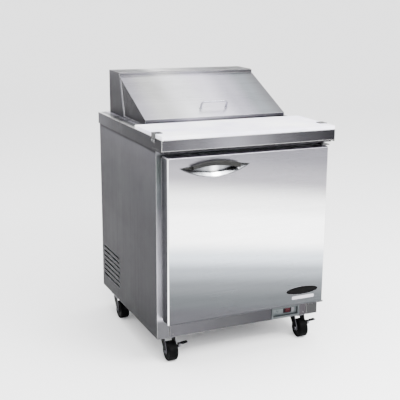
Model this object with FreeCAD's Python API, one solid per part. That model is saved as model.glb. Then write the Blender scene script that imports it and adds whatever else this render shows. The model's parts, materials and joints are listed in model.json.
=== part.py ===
"""Sandwich prep table: a one-door refrigerated base on casters, with a pan well under a hinged
hood lid and a full-width cutting board along the front of the worktop.

Millimetres. +Z is up, +X is to the right of somebody who stands at the door, and +Y runs from the
door to the back. The origin is on the floor, at the centre of the whole table's plan.
Most depths are given as a distance behind the worktop's front face, and at() turns one into Y.
"""
import FreeCAD, Part
import math
import os

V = FreeCAD.Vector
X_AXIS = V(1, 0, 0)
Y_AXIS = V(0, 1, 0)
Z_AXIS = V(0, 0, 1)

# ---- driving dimensions -------------------------------------------------------------------
WORKTOP_HALF = 349.25          # half of 27.5 in
WORKTOP_DEPTH = 740.0
WORKTOP_TOP = 862.0
FRONT_FACE = 40.0              # height of the worktop's front face
SIDE_FACE = 46.0               # height of its side faces
GRIP_PROUD = 17.0              # how far the door grip stands out past the worktop

CABINET_HALF = 344.25
CABINET_TOP = 821.0
BASE = 100.0                   # underside of the cabinet
FRAME_FRONT = 72.0             # depth of the cabinet's face frame
OPENING_HALF = 296.0           # door opening
OPENING_BOTTOM = 205.0
OPENING_TOP = 771.0
WALL = 48.0                    # insulated wall thickness
BAY_FRONT = 470.0              # machine bay under the rear of the cabinet
BAY_TOP = 300.0

DOOR_HALF = 328.0
DOOR_FRONT = 3.0
DOOR_BACK = 55.0
DOOR_BOTTOM = 175.0
DOOR_TOP = 798.0
DOOR_EDGE_R = 8.0
DOOR_PIVOT = (316.0, 25.0)     # X and depth of the hinge line

HOOD_HALF = 298.0
HOOD_TOP = 1036.0
HOOD_WALL = 25.0
LID_FRONT = 306.0
LID_BOTTOM = 868.3
LID_LIP_TOP = 887.0
LID_BAND = (602.8, 1021.7)     # depth of the lid's top band and height of its lower edge
LID_AXIS = (607.2, 1031.5)     # depth and height of the lid's hinge line
SEAM_TOP = (606.0, 1026.0)     # slanted joint between the lid's sides and the fixed hood
SEAM_FOOT = (557.0, 862.3)

BOARD_DEPTH = 281.0
BOARD_THICK = 13.0
BOARD_LIFT = 0.2               # running gap under the board

WELL_HALF = 270.0              # cut-out for the pans
WELL_FRONT = 329.0
WELL_BACK = 663.0
PAN_W = 176.0                  # sixth-size pan
PAN_L = 162.0
PAN_DEEP = 100.0
PAN_COLUMNS = 3
PAN_ROWS = 2

SHEET = 1.2                    # steel sheet
GAP = 0.3                      # clearance between parts that move past each other

WHEEL_R = 37.5
WHEEL_WIDTH = 38.0
TRAIL = 28.0                   # the wheel's axle lies this far in front of the swivel
FRONT_CASTER = (282.5, 122.0)  # X and depth of the front swivels
REAR_CASTER = (313.0, 601.0)

# ---- derived ------------------------------------------------------------------------------
TOTAL_DEPTH = WORKTOP_DEPTH + GRIP_PROUD
FRONT_Y = GRIP_PROUD - TOTAL_DEPTH / 2
BOARD_BOTTOM = WORKTOP_TOP + BOARD_LIFT
BOARD_TOP = BOARD_BOTTOM + BOARD_THICK
CABINET_BACK = WORKTOP_DEPTH - SHEET


# ---- helpers ------------------------------------------------------------------------------
def at(depth):
    """Y of a point this far behind the worktop's front face."""
    return FRONT_Y + depth


def block(x0, x1, d0, d1, z0, z1):
    """Box between two X values, two depths and two heights."""
    return Part.makeBox(x1 - x0, d1 - d0, z1 - z0, V(x0, at(d0), z0))


def rounded(solid, radius, wanted):
    """Fillet the edges that wanted(edge) picks."""
    return solid.makeFillet(radius, [e for e in solid.Edges if wanted(e)])


def runs_along(edge, axis):
    direction = edge.Vertexes[-1].Point - edge.Vertexes[0].Point
    return direction.Length > 1e-6 and abs(direction.normalize().dot(axis)) > 0.999


def rounded_block(x0, x1, d0, d1, z0, z1, radius, axis):
    """Box whose four edges along one axis are rounded."""
    return rounded(block(x0, x1, d0, d1, z0, z1), radius, lambda e: runs_along(e, axis))


def side_prism(points, x0, x1):
    """Outline of (depth, height) points, run from x0 to x1."""
    wire = Part.makePolygon([V(x0, at(d), z) for d, z in points + points[:1]])
    return Part.Face(wire).extrude(V(x1 - x0, 0, 0))


def front_prism(points, d0, d1):
    """Outline of (X, height) points, run from depth d0 to d1."""
    wire = Part.makePolygon([V(x, at(d0), z) for x, z in points + points[:1]])
    return Part.Face(wire).extrude(V(0, d1 - d0, 0))


def rod(start, axis, radius, length):
    return Part.makeCylinder(radius, length, start, axis)


def x_rod(x0, x1, depth, z, radius):
    return rod(V(x0, at(depth), z), X_AXIS, radius, x1 - x0)


def y_rod(x, d0, d1, z, radius):
    return rod(V(x, at(d0), z), Y_AXIS, radius, d1 - d0)


def z_rod(x, depth, z0, z1, radius):
    return rod(V(x, at(depth), z0), Z_AXIS, radius, z1 - z0)


def hexagon(x, depth, z0, z1, across):
    """Upright hexagonal prism."""
    corner = across / math.sqrt(3)
    turns = [math.radians(60 * i) for i in range(7)]
    ring = [V(x + corner * math.cos(a), at(depth) + corner * math.sin(a), z0) for a in turns]
    return Part.Face(Part.makePolygon(ring)).extrude(V(0, 0, z1 - z0))


def joined(parts):
    parts = list(parts)
    return parts[0].multiFuse(parts[1:]).removeSplitter() if len(parts) > 1 else parts[0]


def mirrored(solid):
    """The same solid on the other side of the table."""
    return solid.mirror(V(0, 0, 0), X_AXIS)


def both_sides(solid):
    return [solid, mirrored(solid)]


def save(name, *solids):
    shape = solids[0] if len(solids) == 1 else Part.makeCompound(list(solids))
    shape.exportStep("parts/" + name + ".step")
    bad = [s for s in shape.Solids if not s.isValid() or s.Volume <= 0]
    print(name, len(shape.Solids), "solids", round(shape.Volume), "BAD" if bad or not shape.Solids else "")


# ---- cabinet ------------------------------------------------------------------------------
LOUVRES = 7
LOUVRE_PITCH = 20.7
LOUVRE_LOW = 155.5
LOUVRE_FRONT = 506.0
LOUVRE_BACK = 720.0
LOUVRE_HIGH = 9.0
LOUVRE_TAB = (9.0, 6.0)        # how far a tab reaches in, and how far it drops


def side_panel():
    """Left skin: a flat sheet with slots beside the machine bay, each with a tab bent inwards."""
    inner = -CABINET_HALF + SHEET
    panel = block(-CABINET_HALF, inner, FRAME_FRONT, CABINET_BACK, BASE, CABINET_TOP)
    reach, drop = LOUVRE_TAB
    slots = []
    tabs = []
    for i in range(LOUVRES):
        low = LOUVRE_LOW + i * LOUVRE_PITCH
        top = low + LOUVRE_HIGH
        slots.append(block(-CABINET_HALF, inner, LOUVRE_FRONT, LOUVRE_BACK, low, top))
        outline = [(-CABINET_HALF + 0.3, top + SHEET), (inner + reach, top + SHEET - drop),
                   (inner + reach, top - drop), (-CABINET_HALF + 0.3, top)]
        tabs.append(front_prism(outline, LOUVRE_FRONT, LOUVRE_BACK))
    return joined([panel.cut(Part.makeCompound(slots))] + tabs)


GRILLE_ROWS = 9
GRILLE_COLUMNS = 3
GRILLE_PITCH = 18.0
GRILLE_SLOT = (150.0, 8.0)
GRILLE_LOW = 130.0
GLAND_X = 300.0
GLAND_Z = 320.0
GLAND_R = 9.0


def rear_panel():
    """Back skin with rows of air slots behind the machine bay and a cord gland's hole."""
    panel = block(-CABINET_HALF, CABINET_HALF, CABINET_BACK, WORKTOP_DEPTH, BASE, CABINET_TOP)
    length, height = GRILLE_SLOT
    cuts = [y_rod(GLAND_X, CABINET_BACK - 1, WORKTOP_DEPTH + 1, GLAND_Z, GLAND_R)]
    for column in range(GRILLE_COLUMNS):
        middle = (column - (GRILLE_COLUMNS - 1) / 2) * (length + 30)
        for row in range(GRILLE_ROWS):
            z = GRILLE_LOW + row * GRILLE_PITCH
            cuts.append(rounded_block(middle - length / 2, middle + length / 2, CABINET_BACK - 1,
                                      WORKTOP_DEPTH + 1, z, z + height, height / 2 - 0.1, Y_AXIS))
    return panel.cut(Part.makeCompound(cuts))


def caster_sites():
    """Name, X and depth of each swivel."""
    fx, fd = FRONT_CASTER
    rx, rd = REAR_CASTER
    return [("front_left", -fx, fd), ("front_right", fx, fd), ("rear_left", -rx, rd), ("rear_right", rx, rd)]


PLATE_BOLTS = (22.0, 28.0)     # half the caster plate's bolt spacing, across and along
BOLT_R = 4.0
BOLT_HOLE_R = 4.2


def plate_bolt_spots(x, depth):
    across, along = PLATE_BOLTS
    return [(x + i * across, depth + j * along) for i in (-1, 1) for j in (-1, 1)]


def base_pan():
    """Bottom plate, drilled for the caster bolts."""
    inner = CABINET_HALF - SHEET
    plate = block(-inner, inner, FRAME_FRONT + SHEET, CABINET_BACK, BASE, BASE + 2)
    holes = []
    for _, x, depth in caster_sites():
        for bx, bd in plate_bolt_spots(x, depth):
            holes.append(z_rod(bx, bd, BASE - 1, BASE + 3, BOLT_HOLE_R))
    return plate.cut(Part.makeCompound(holes))


def front_frame():
    """Two corner posts and two rails, each a face strip with a return into the opening."""
    face = FRAME_FRONT + SHEET
    back = FRAME_FRONT + 38
    front = FRAME_FRONT - SHEET
    half = OPENING_HALF
    post = joined([block(-CABINET_HALF, -half, front, FRAME_FRONT, BASE, CABINET_TOP),
                   block(-half - SHEET, -half, front, back, BASE + 2, CABINET_TOP)])
    header = joined([block(-half, half, FRAME_FRONT, face, OPENING_TOP, CABINET_TOP),
                     block(-half, half, FRAME_FRONT, back, OPENING_TOP, OPENING_TOP + SHEET),
                     block(-half, half, back - SHEET, back, OPENING_TOP, CABINET_TOP)])
    sill = joined([block(-half, half, FRAME_FRONT, face, KICK_TOP + 1, OPENING_BOTTOM),
                   block(-half, half, FRAME_FRONT, back, OPENING_BOTTOM - SHEET, OPENING_BOTTOM)])
    return both_sides(post) + [header, sill]


BEZEL_X = (137.0, 262.0)
BEZEL_Z = (103.0, 148.0)
BEZEL_RIM = 7.0
BEZEL_PROUD = 3.0
BEZEL_DEEP = 12.0
KICK_TOP = 172.5
KICK_INSET = 3.0               # shadow gap between the kick panel and each post


def kick_panel():
    """Removable panel below the door, cut out for the control bezel."""
    half = OPENING_HALF - KICK_INSET
    panel = block(-half, half, FRAME_FRONT, FRAME_FRONT + SHEET, BASE, KICK_TOP)
    x0, x1 = BEZEL_X
    z0, z1 = BEZEL_Z
    return panel.cut(block(x0 + 3, x1 - 3, FRAME_FRONT - 1, FRAME_FRONT + 3, z0 + 3, z1 - 3))


def control_bezel():
    """Moulded frame with a sunk window, clipped into the kick panel."""
    x0, x1 = BEZEL_X
    z0, z1 = BEZEL_Z
    rim = BEZEL_RIM
    front = FRAME_FRONT - BEZEL_PROUD
    back = FRAME_FRONT + BEZEL_DEEP
    flange = rounded_block(x0, x1, front, FRAME_FRONT, z0, z1, 2.5, Y_AXIS)
    throat = block(x0 + 3.2, x1 - 3.2, FRAME_FRONT, back, z0 + 3.2, z1 - 3.2)
    window = rounded_block(x0 + rim, x1 - rim, front - 1, back + 1, z0 + rim, z1 - rim, 1.5, Y_AXIS)
    return joined([flange, throat]).cut(window)


KEY_X = 170.0
ARROW_X = 240.0
KEY_Z = (BEZEL_Z[0] + BEZEL_Z[1]) / 2
KEY_R = 4.5
ARROW_SIZE = (9.0, 18.0)
DISPLAY_X = (196.0, 233.0)
DISPLAY_Z = (115.0, 136.0)
FACE_DEPTH = FRAME_FRONT + BEZEL_DEEP + 0.1


def controller():
    """Thermostat body: a flat face with a display recess and openings for its keys."""
    x0, x1 = BEZEL_X
    face = block(x0 + 4, x1 - 4, FACE_DEPTH, FACE_DEPTH + 3, BEZEL_Z[0] + 4, BEZEL_Z[1] - 4)
    body = block(x0 + 8, x1 - 8, FACE_DEPTH + 3, FACE_DEPTH + 58, BEZEL_Z[0] + 8, BEZEL_Z[1] - 8)
    display = block(*DISPLAY_X, FACE_DEPTH - 1, FACE_DEPTH + 1, *DISPLAY_Z)
    key = y_rod(KEY_X, FACE_DEPTH - 1, FACE_DEPTH + 9, KEY_Z, KEY_R + GAP)
    half_w = ARROW_SIZE[0] / 2 + GAP
    half_h = ARROW_SIZE[1] / 2 + GAP
    arrow = block(ARROW_X - half_w, ARROW_X + half_w, FACE_DEPTH - 1, FACE_DEPTH + 9,
                  KEY_Z - half_h, KEY_Z + half_h)
    return joined([face, body]).cut(Part.makeCompound([display, key, arrow]))


def set_key():
    return y_rod(KEY_X, FACE_DEPTH - 1.6, FACE_DEPTH + 5, KEY_Z, KEY_R)


def arrow_key():
    """Rocking key: its face is two slopes that meet at the middle."""
    half_w, half_h = ARROW_SIZE[0] / 2, ARROW_SIZE[1] / 2
    low, high = KEY_Z - half_h, KEY_Z + half_h
    outline = [(FACE_DEPTH - 1.8, low), (FACE_DEPTH - 0.9, KEY_Z), (FACE_DEPTH - 1.8, high),
               (FACE_DEPTH + 4, high - 0.6), (FACE_DEPTH + 4, low + 0.6)]
    return side_prism(outline, ARROW_X - half_w, ARROW_X + half_w)


LINER_HALF = OPENING_HALF
LINER_FRONT = FRAME_FRONT + 38
LINER_BACK = 690.0
LINER_SHEET = 1.0
STEP_TOP = BAY_TOP + 40
STEP_FRONT = BAY_FRONT - 34
PIPE_HOLE = (232.0, 662.0)
PIPE_HOLE_R = 14.0


def foam_blocks():
    """Foamed-in insulation: cabinet walls, floor and step, worktop ring and fixed hood."""
    inner = CABINET_HALF - SHEET
    wall_in = OPENING_HALF + SHEET
    foam_front = FRAME_FRONT + SHEET
    side = [block(-inner, -wall_in, foam_front, CABINET_BACK, STEP_TOP - 40, CABINET_TOP),
            block(-inner, -wall_in, foam_front, BAY_FRONT, BASE + 12, STEP_TOP - 40)]
    blocks = []
    for part in side:
        blocks += both_sides(part)
    blocks.append(block(-wall_in, wall_in, LINER_BACK, CABINET_BACK, BAY_TOP, CABINET_TOP))
    step = block(-wall_in, wall_in, STEP_FRONT + LINER_SHEET, LINER_BACK, BAY_TOP, STEP_TOP - LINER_SHEET)
    blocks.append(step.cut(z_rod(*PIPE_HOLE, BAY_TOP - 1, STEP_TOP + 1, PIPE_HOLE_R)))
    blocks.append(block(-wall_in, wall_in, STEP_FRONT + LINER_SHEET, BAY_FRONT, 160, BAY_TOP))
    blocks.append(block(-wall_in, wall_in, LINER_FRONT, STEP_FRONT + LINER_SHEET,
                        160, OPENING_BOTTOM - LINER_SHEET))
    sill = OPENING_HALF
    blocks.append(block(-sill, sill, foam_front, LINER_FRONT, 160, OPENING_BOTTOM - SHEET))
    blocks.append(block(-sill, sill, foam_front, LINER_FRONT - SHEET, OPENING_TOP + SHEET, CABINET_TOP))
    top_in = WORKTOP_HALF - 2 * SHEET
    low, high = CABINET_TOP + 1, WORKTOP_TOP - 1.5
    front, back = 2 * SHEET, WORKTOP_DEPTH - 2 * SHEET
    ring_x, ring_front, ring_back = WELL_HALF + 2, WELL_FRONT - 2, WELL_BACK + 2
    blocks += [block(-top_in, top_in, front, ring_front, low + TOP_SHEET, high),
               block(-top_in, top_in, ring_back, back, low, high)]
    blocks += both_sides(block(-top_in, -ring_x, ring_front, ring_back, low, high))
    return blocks + hood_foam()


def inner_liner():
    """Bright one-piece inner box with a step over the machine bay, open at the front and top."""
    riser_back = STEP_FRONT + LINER_SHEET
    outline = [(LINER_FRONT, OPENING_BOTTOM - LINER_SHEET), (riser_back, OPENING_BOTTOM - LINER_SHEET),
               (riser_back, STEP_TOP - LINER_SHEET), (LINER_BACK, STEP_TOP - LINER_SHEET),
               (LINER_BACK, CABINET_TOP), (LINER_FRONT, CABINET_TOP)]
    inside = [(LINER_FRONT - 1, OPENING_BOTTOM), (STEP_FRONT, OPENING_BOTTOM),
              (STEP_FRONT, STEP_TOP), (LINER_BACK - LINER_SHEET, STEP_TOP),
              (LINER_BACK - LINER_SHEET, CABINET_TOP + 1), (LINER_FRONT - 1, CABINET_TOP + 1)]
    outer = side_prism(outline, -LINER_HALF - SHEET, LINER_HALF + SHEET)
    hollow = side_prism(inside, -LINER_HALF, LINER_HALF)
    pipe = z_rod(*PIPE_HOLE, STEP_TOP - 3, STEP_TOP + 3, PIPE_HOLE_R)
    return outer.cut(hollow).cut(pipe)


def breaker_strips():
    """Plastic strips that line the door opening between the frame and the liner."""
    thick = 3.0
    front, back = FRAME_FRONT + 2, LINER_FRONT + 14
    upright = block(-OPENING_HALF, -OPENING_HALF + thick, front, back, OPENING_BOTTOM, OPENING_TOP)
    inner = OPENING_HALF - thick
    floor = block(-inner, inner, front, back, OPENING_BOTTOM, OPENING_BOTTOM + thick)
    ceiling = block(-inner, inner, front, back, OPENING_TOP - thick, OPENING_TOP)
    return both_sides(upright) + [floor, ceiling]


# ---- shelf --------------------------------------------------------------------------------
SHELF_Z = 452.0
SHELF_HALF = 286.0
SHELF_FRONT = 140.0
SHELF_BACK = 582.0
SHELF_RIM_R = 3.0
SHELF_WIRE_R = 2.0
SHELF_WIRES = 22
RUNNER_DROP = 1.3              # the side runners lie this much below the crossbars
CLIP_DEPTHS = (185.0, 540.0)


def wire_shelf():
    """Coated wire shelf: a rim, two stretchers and a row of wires on top of them."""
    r = SHELF_RIM_R
    parts = [x_rod(-SHELF_HALF, SHELF_HALF, depth, SHELF_Z, r)
             for depth in (SHELF_FRONT, SHELF_FRONT + 150, SHELF_BACK - 150, SHELF_BACK)]
    parts += both_sides(y_rod(-SHELF_HALF + 4, SHELF_FRONT - 5, SHELF_BACK + 5, SHELF_Z - RUNNER_DROP, r))
    pitch = 2 * SHELF_HALF / (SHELF_WIRES + 1)
    for i in range(1, SHELF_WIRES + 1):
        x = -SHELF_HALF + i * pitch
        parts.append(y_rod(x, SHELF_FRONT - 4, SHELF_BACK + 4, SHELF_Z + r + 0.4, SHELF_WIRE_R))
    return joined(parts)


def shelf_clips():
    """Four hooked clips on the liner's sides, under the shelf's rim."""
    clips = []
    top = SHELF_Z - RUNNER_DROP - SHELF_RIM_R
    for depth in CLIP_DEPTHS:
        back_plate = block(-LINER_HALF, -LINER_HALF + 2, depth - 9, depth + 9, top - 34, top + 8)
        tongue = block(-LINER_HALF, -LINER_HALF + 15, depth - 9, depth + 9, top - 2.5, top)
        brace = side_clip_brace(depth, top)
        clips += both_sides(joined([back_plate, tongue, brace]))
    return clips


def side_clip_brace(depth, top):
    outline = [(-LINER_HALF + 1, top - 1), (-LINER_HALF + 13, top - 1), (-LINER_HALF + 1, top - 22)]
    return front_prism(outline, depth - 1.5, depth + 1.5)


# ---- evaporator ---------------------------------------------------------------------------
COVER_HALF = 240.0
COVER_FRONT = 600.0
COVER_BACK = LINER_BACK - LINER_SHEET
COVER_LOW = 505.0
COVER_HIGH = 735.0
EVAP_FAN = (0.0, 622.0)        # X and height of the fan's axis
EVAP_FAN_R = 62.0
COIL_FRONT = 648.0


def evaporator_cover():
    """Folded cover with a round fan guard opening and two banks of air slots."""
    outer = block(-COVER_HALF, COVER_HALF, COVER_FRONT, COVER_BACK, COVER_LOW, COVER_HIGH)
    inner = block(-COVER_HALF + SHEET, COVER_HALF - SHEET, COVER_FRONT + SHEET, COVER_BACK + 1,
                  COVER_LOW + SHEET, COVER_HIGH - SHEET)
    x, z = EVAP_FAN
    cuts = []
    ring_width = 7.0
    for ring in range(1, 5):
        outside = y_rod(x, COVER_FRONT - 1, COVER_FRONT + 2, z, ring * 15.0)
        inside = y_rod(x, COVER_FRONT - 2, COVER_FRONT + 3, z, ring * 15.0 - ring_width)
        cuts.append(outside.cut(inside))
    spokes = [block(x - 60, x + 60, COVER_FRONT - 3, COVER_FRONT + 4, z - 2, z + 2),
              block(x - 2, x + 2, COVER_FRONT - 3, COVER_FRONT + 4, z - 60, z + 60)]
    guard = Part.makeCompound(cuts).cut(Part.makeCompound(spokes))
    slots = []
    for side in (-1, 1):
        for row in range(6):
            middle, low = side * 160.0, z - 55 + row * 20
            slots.append(block(middle - 50, middle + 50, COVER_FRONT - 1, COVER_FRONT + 3, low, low + 8))
    hole = z_rod(*PIPE_HOLE, COVER_LOW - 1, COVER_LOW + 3, PIPE_HOLE_R)
    return outer.cut(inner).cut(guard).cut(Part.makeCompound(slots)).cut(hole)


def finned_coil(length, deep, high, fins, tube_rows, tube_r=4.0):
    """Coil block lying along X from the origin: plate fins on straight tubes with end plates."""
    pitch = length / (fins - 1)
    plates = [Part.makeBox(0.8 if 0 < i < fins - 1 else 1.6, deep, high, V(i * pitch, 0, 0))
              for i in range(fins)]
    tubes = []
    for row in range(tube_rows):
        z = high * (row + 0.5) / tube_rows
        tubes.append(rod(V(-8, deep / 2, z), X_AXIS, tube_r, length + 16))
    bends = []
    for row in range(tube_rows - 1):
        x = length + 7 if row % 2 == 0 else -7
        low = high * (row + 0.5) / tube_rows
        bends.append(rod(V(x, deep / 2, low), Z_AXIS, tube_r, high / tube_rows))
    return joined(plates + tubes + bends)


def evaporator_coil():
    length, deep, high = 400, 36, 190
    coil = finned_coil(length, deep, high, 34, 5)
    feet = [Part.makeBox(12, COVER_BACK - COIL_FRONT - deep + 1, 1.6, V(x, deep - 1, z))
            for x in (4, length - 16) for z in (20, high - 22)]
    coil = joined([coil] + feet)
    coil.translate(V(-215, at(COIL_FRONT), COVER_LOW + 20))
    return coil


def fan_rotor(radius, hub_r, thick, blades):
    """Axial fan about +Z from the origin: a bored hub with pitched blades."""
    hub = Part.makeCylinder(hub_r, thick)
    wings = []
    for i in range(blades):
        wing = Part.makeBox(radius - hub_r + 2, radius * 0.62, 1.6, V(hub_r - 2, -radius * 0.31, -0.8))
        wing.rotate(V(0, 0, 0), X_AXIS, 24)
        wing.translate(V(0, 0, thick / 2))
        wing.rotate(V(0, 0, 0), Z_AXIS, 360.0 * i / blades)
        wings.append(wing)
    disc = Part.makeCylinder(radius, thick * 4, V(0, 0, -1.5 * thick))
    whole = joined([hub] + [w.common(disc) for w in wings])
    return whole.cut(Part.makeCylinder(FAN_SHAFT_R + 0.05, thick + 2, V(0, 0, -1)))


FAN_SHAFT_R = 3.0
EVAP_FAN_DEPTH = COVER_FRONT + 14


def evaporator_fan():
    fan = fan_rotor(EVAP_FAN_R - 4, 16, 9, 5)
    fan.rotate(V(0, 0, 0), X_AXIS, -90)
    fan.translate(V(EVAP_FAN[0], at(EVAP_FAN_DEPTH), EVAP_FAN[1]))
    return fan


def evaporator_motor():
    x, z = EVAP_FAN
    back = COIL_FRONT - 1
    can = y_rod(x, EVAP_FAN_DEPTH + 14, back, z, 24)
    shaft = y_rod(x, EVAP_FAN_DEPTH - 2, EVAP_FAN_DEPTH + 15, z, FAN_SHAFT_R)
    arm = block(x - 78, x + 78, back - 4, back, z - 5, z + 5)
    return joined([can, shaft, arm])


# ---- machine bay --------------------------------------------------------------------------
FLOOR = BASE + 2
CONDENSER_X = (-322.0, -274.0)
CONDENSER_DEPTH = (492.0, 718.0)
CONDENSER_Z = (116.0, 270.0)
COND_FAN_R = 76.0
COND_FAN_X = -262.0
COND_AXIS = (605.0, 194.0)     # depth and height
COMPRESSOR = (20.0, 605.0)
COMPRESSOR_R = 74.0


def condenser_coil():
    """Coil block across the left louvres, on two feet."""
    x0, x1 = CONDENSER_X
    d0, d1 = CONDENSER_DEPTH
    z0, z1 = CONDENSER_Z
    coil = finned_coil(d1 - d0, x1 - x0, z1 - z0, 24, 5)
    coil.rotate(V(0, 0, 0), Z_AXIS, 90)
    coil.translate(V(x1, at(d0), z0))
    feet = [block(x0 + 8, x1 - 8, depth, depth + 6, FLOOR, z0 + 6) for depth in (d0 - 3, d1 - 3)]
    return joined([coil] + feet)


def condenser_fan():
    fan = fan_rotor(COND_FAN_R, 20, 12, 5)
    fan.rotate(V(0, 0, 0), Y_AXIS, 90)
    fan.translate(V(COND_FAN_X, at(COND_AXIS[0]), COND_AXIS[1]))
    return fan


def condenser_motor():
    """Motor behind the fan on a standing bracket."""
    depth, z = COND_AXIS
    start = COND_FAN_X + 26
    can = x_rod(start, start + 58, depth, z, 34)
    shaft = x_rod(COND_FAN_X - 3, start + 1, depth, z, FAN_SHAFT_R)
    stand = block(start + 14, start + 44, depth - 16, depth + 16, FLOOR, z)
    foot = block(start + 4, start + 54, depth - 34, depth + 34, FLOOR, FLOOR + 3)
    return joined([can, shaft, stand, foot])


def compressor():
    """Hermetic can with a domed top, a welded waist, a foot plate and rubber feet."""
    x, depth = COMPRESSOR
    low = FLOOR + 20
    r = COMPRESSOR_R
    can = z_rod(x, depth, low, low + 100, r)
    can = can.makeFillet(18, [e for e in can.Edges if isinstance(e.Curve, Part.Circle)
                              and abs(e.Curve.Center.z - low) < 1])
    dome = z_rod(x, depth, low + 98, low + 150, r)
    dome = dome.makeFillet(46, [e for e in dome.Edges if isinstance(e.Curve, Part.Circle)
                                and abs(e.Curve.Center.z - low - 150) < 1])
    waist = z_rod(x, depth, low + 92, low + 98, r + 4)
    plate = rounded_block(x - 100, x + 100, depth - 55, depth + 55, FLOOR + 14, FLOOR + 17, 12, Z_AXIS)
    neck = z_rod(x, depth, FLOOR + 16, low + 6, r - 22)
    feet = [z_rod(x + i * 86, depth + j * 42, FLOOR, FLOOR + 15, 10) for i in (-1, 1) for j in (-1, 1)]
    box = block(x - 30, x + 30, depth - r - 26, depth - r + 12, low + 30, low + 80)
    return joined([can, dome, waist, plate, neck, box] + feet)


def drain_pan():
    """Shallow tray that catches and boils off the defrost water."""
    x0, x1, d0, d1 = 170, 330, 476, 546
    outer = rounded_block(x0, x1, d0, d1, FLOOR, FLOOR + 34, 8, Z_AXIS)
    inner = rounded_block(x0 + 2, x1 - 2, d0 + 2, d1 - 2, FLOOR + 2, FLOOR + 35, 6, Z_AXIS)
    return outer.cut(inner)


def tube_along(points, radius, bend):
    """Round tube through corner points, with an arc of one bend radius at each corner."""
    corners = [V(x, at(depth), z) for x, depth, z in points]
    edges = []
    here = corners[0]
    for before, corner, after in zip(corners, corners[1:], corners[2:]):
        back = (before - corner).normalize()
        ahead = (after - corner).normalize()
        half = back.getAngle(ahead) / 2
        reach = bend / math.tan(half)
        start = corner + back * reach
        end = corner + ahead * reach
        to_middle = (back + ahead).normalize()
        middle = corner + to_middle * (bend / math.sin(half) - bend)
        edges.append(Part.LineSegment(here, start).toShape())
        edges.append(Part.Arc(start, middle, end).toShape())
        here = end
    edges.append(Part.LineSegment(here, corners[-1]).toShape())
    path = Part.Wire(edges)
    ring = Part.Wire(Part.makeCircle(radius, corners[0], corners[1] - corners[0]))
    return path.makePipeShell([ring], True, False)


def refrigerant_lines():
    """Copper tubes: one from the compressor to the condenser, one up to the evaporator."""
    x, depth = COMPRESSOR
    top = FLOOR + 20 + 150
    px, pd = PIPE_HOLE
    discharge = tube_along([(x - 15, depth + 15, top), (x - 15, depth + 15, BAY_TOP - 10),
                            (x - 15, depth + 100, BAY_TOP - 10), (-296, depth + 100, BAY_TOP - 10),
                            (-296, depth + 100, CONDENSER_Z[1])], 3, 6)
    suction = tube_along([(x + 15, depth + 8, top), (x + 15, depth + 8, BAY_TOP - 12),
                          (x + 15, pd, BAY_TOP - 12), (px, pd, BAY_TOP - 12),
                          (px, pd, COVER_LOW + 50), (197, pd + 4, COVER_LOW + 50)], 4.5, 9)
    return [discharge, suction]


# ---- worktop and pan well -----------------------------------------------------------------
TOP_SHEET = 1.5
LOWER_LIP = 8.0
LOWER_LIP_BACK = 9.0
LIP_INSET = 10.0


def worktop():
    """Folded steel top: deep front and side faces, a set-back lower lip and the pan cut-out."""
    w, deep, top = WORKTOP_HALF, WORKTOP_DEPTH, WORKTOP_TOP
    deck = block(-w, w, 0, deep, top - TOP_SHEET, top)
    deck = deck.cut(block(-WELL_HALF, WELL_HALF, WELL_FRONT, WELL_BACK, top - 5, top + 5))
    front = block(-w, w, 0, TOP_SHEET, top - FRONT_FACE, top)
    sides = both_sides(block(-w, -w + TOP_SHEET, 0, deep, top - SIDE_FACE, top))
    back = block(-w, w, deep - TOP_SHEET, deep, CABINET_TOP + 0.5, top)
    fold = block(-w, w, 0, FRAME_FRONT + 20, top - FRONT_FACE, top - FRONT_FACE + TOP_SHEET)
    lip = block(-w + LIP_INSET, w - LIP_INSET, LOWER_LIP_BACK, LOWER_LIP_BACK + TOP_SHEET,
                top - FRONT_FACE - LOWER_LIP, top - FRONT_FACE + TOP_SHEET)
    notch = both_sides(block(-w - 1, -w + TOP_SHEET, -1, TOP_SHEET, top - SIDE_FACE - 1, top - FRONT_FACE))
    well_drop = 12.0
    ring_out = block(-WELL_HALF - 1.4, WELL_HALF + 1.4, WELL_FRONT - 1.4, WELL_BACK + 1.4,
                     top - well_drop, top - TOP_SHEET + 0.1)
    ring = ring_out.cut(block(-WELL_HALF, WELL_HALF, WELL_FRONT, WELL_BACK, top - well_drop - 1, top))
    return joined([deck, front, back, fold, lip, ring] + sides).cut(Part.makeCompound(notch))


RAIL_HALF = WELL_HALF - 1.5
RAIL_FRONT = WELL_FRONT + 1.5
RAIL_BACK = WELL_BACK - 1.5
RAIL_WALL = 1.5
LEDGE = 10.0
LEDGE_Z = 850.0
BAR_THICK = 1.5
BAR_WIDE = 14.0
BAR_Z = LEDGE_Z + RAIL_WALL + 0.1
WEB_DEEP = 12.0
PAN_TOP = BAR_Z + BAR_THICK + 3.6


def pan_rail():
    """Stepped ring inside the cut-out that carries the pans' rims."""
    outer = block(-RAIL_HALF, RAIL_HALF, RAIL_FRONT, RAIL_BACK, LEDGE_Z, WORKTOP_TOP - 0.4)
    pocket = block(-RAIL_HALF + RAIL_WALL, RAIL_HALF - RAIL_WALL, RAIL_FRONT + RAIL_WALL,
                   RAIL_BACK - RAIL_WALL, LEDGE_Z + RAIL_WALL, WORKTOP_TOP + 1)
    through = block(-RAIL_HALF + LEDGE, RAIL_HALF - LEDGE, RAIL_FRONT + LEDGE, RAIL_BACK - LEDGE,
                    LEDGE_Z - 1, WORKTOP_TOP)
    return outer.cut(pocket).cut(through)


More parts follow.
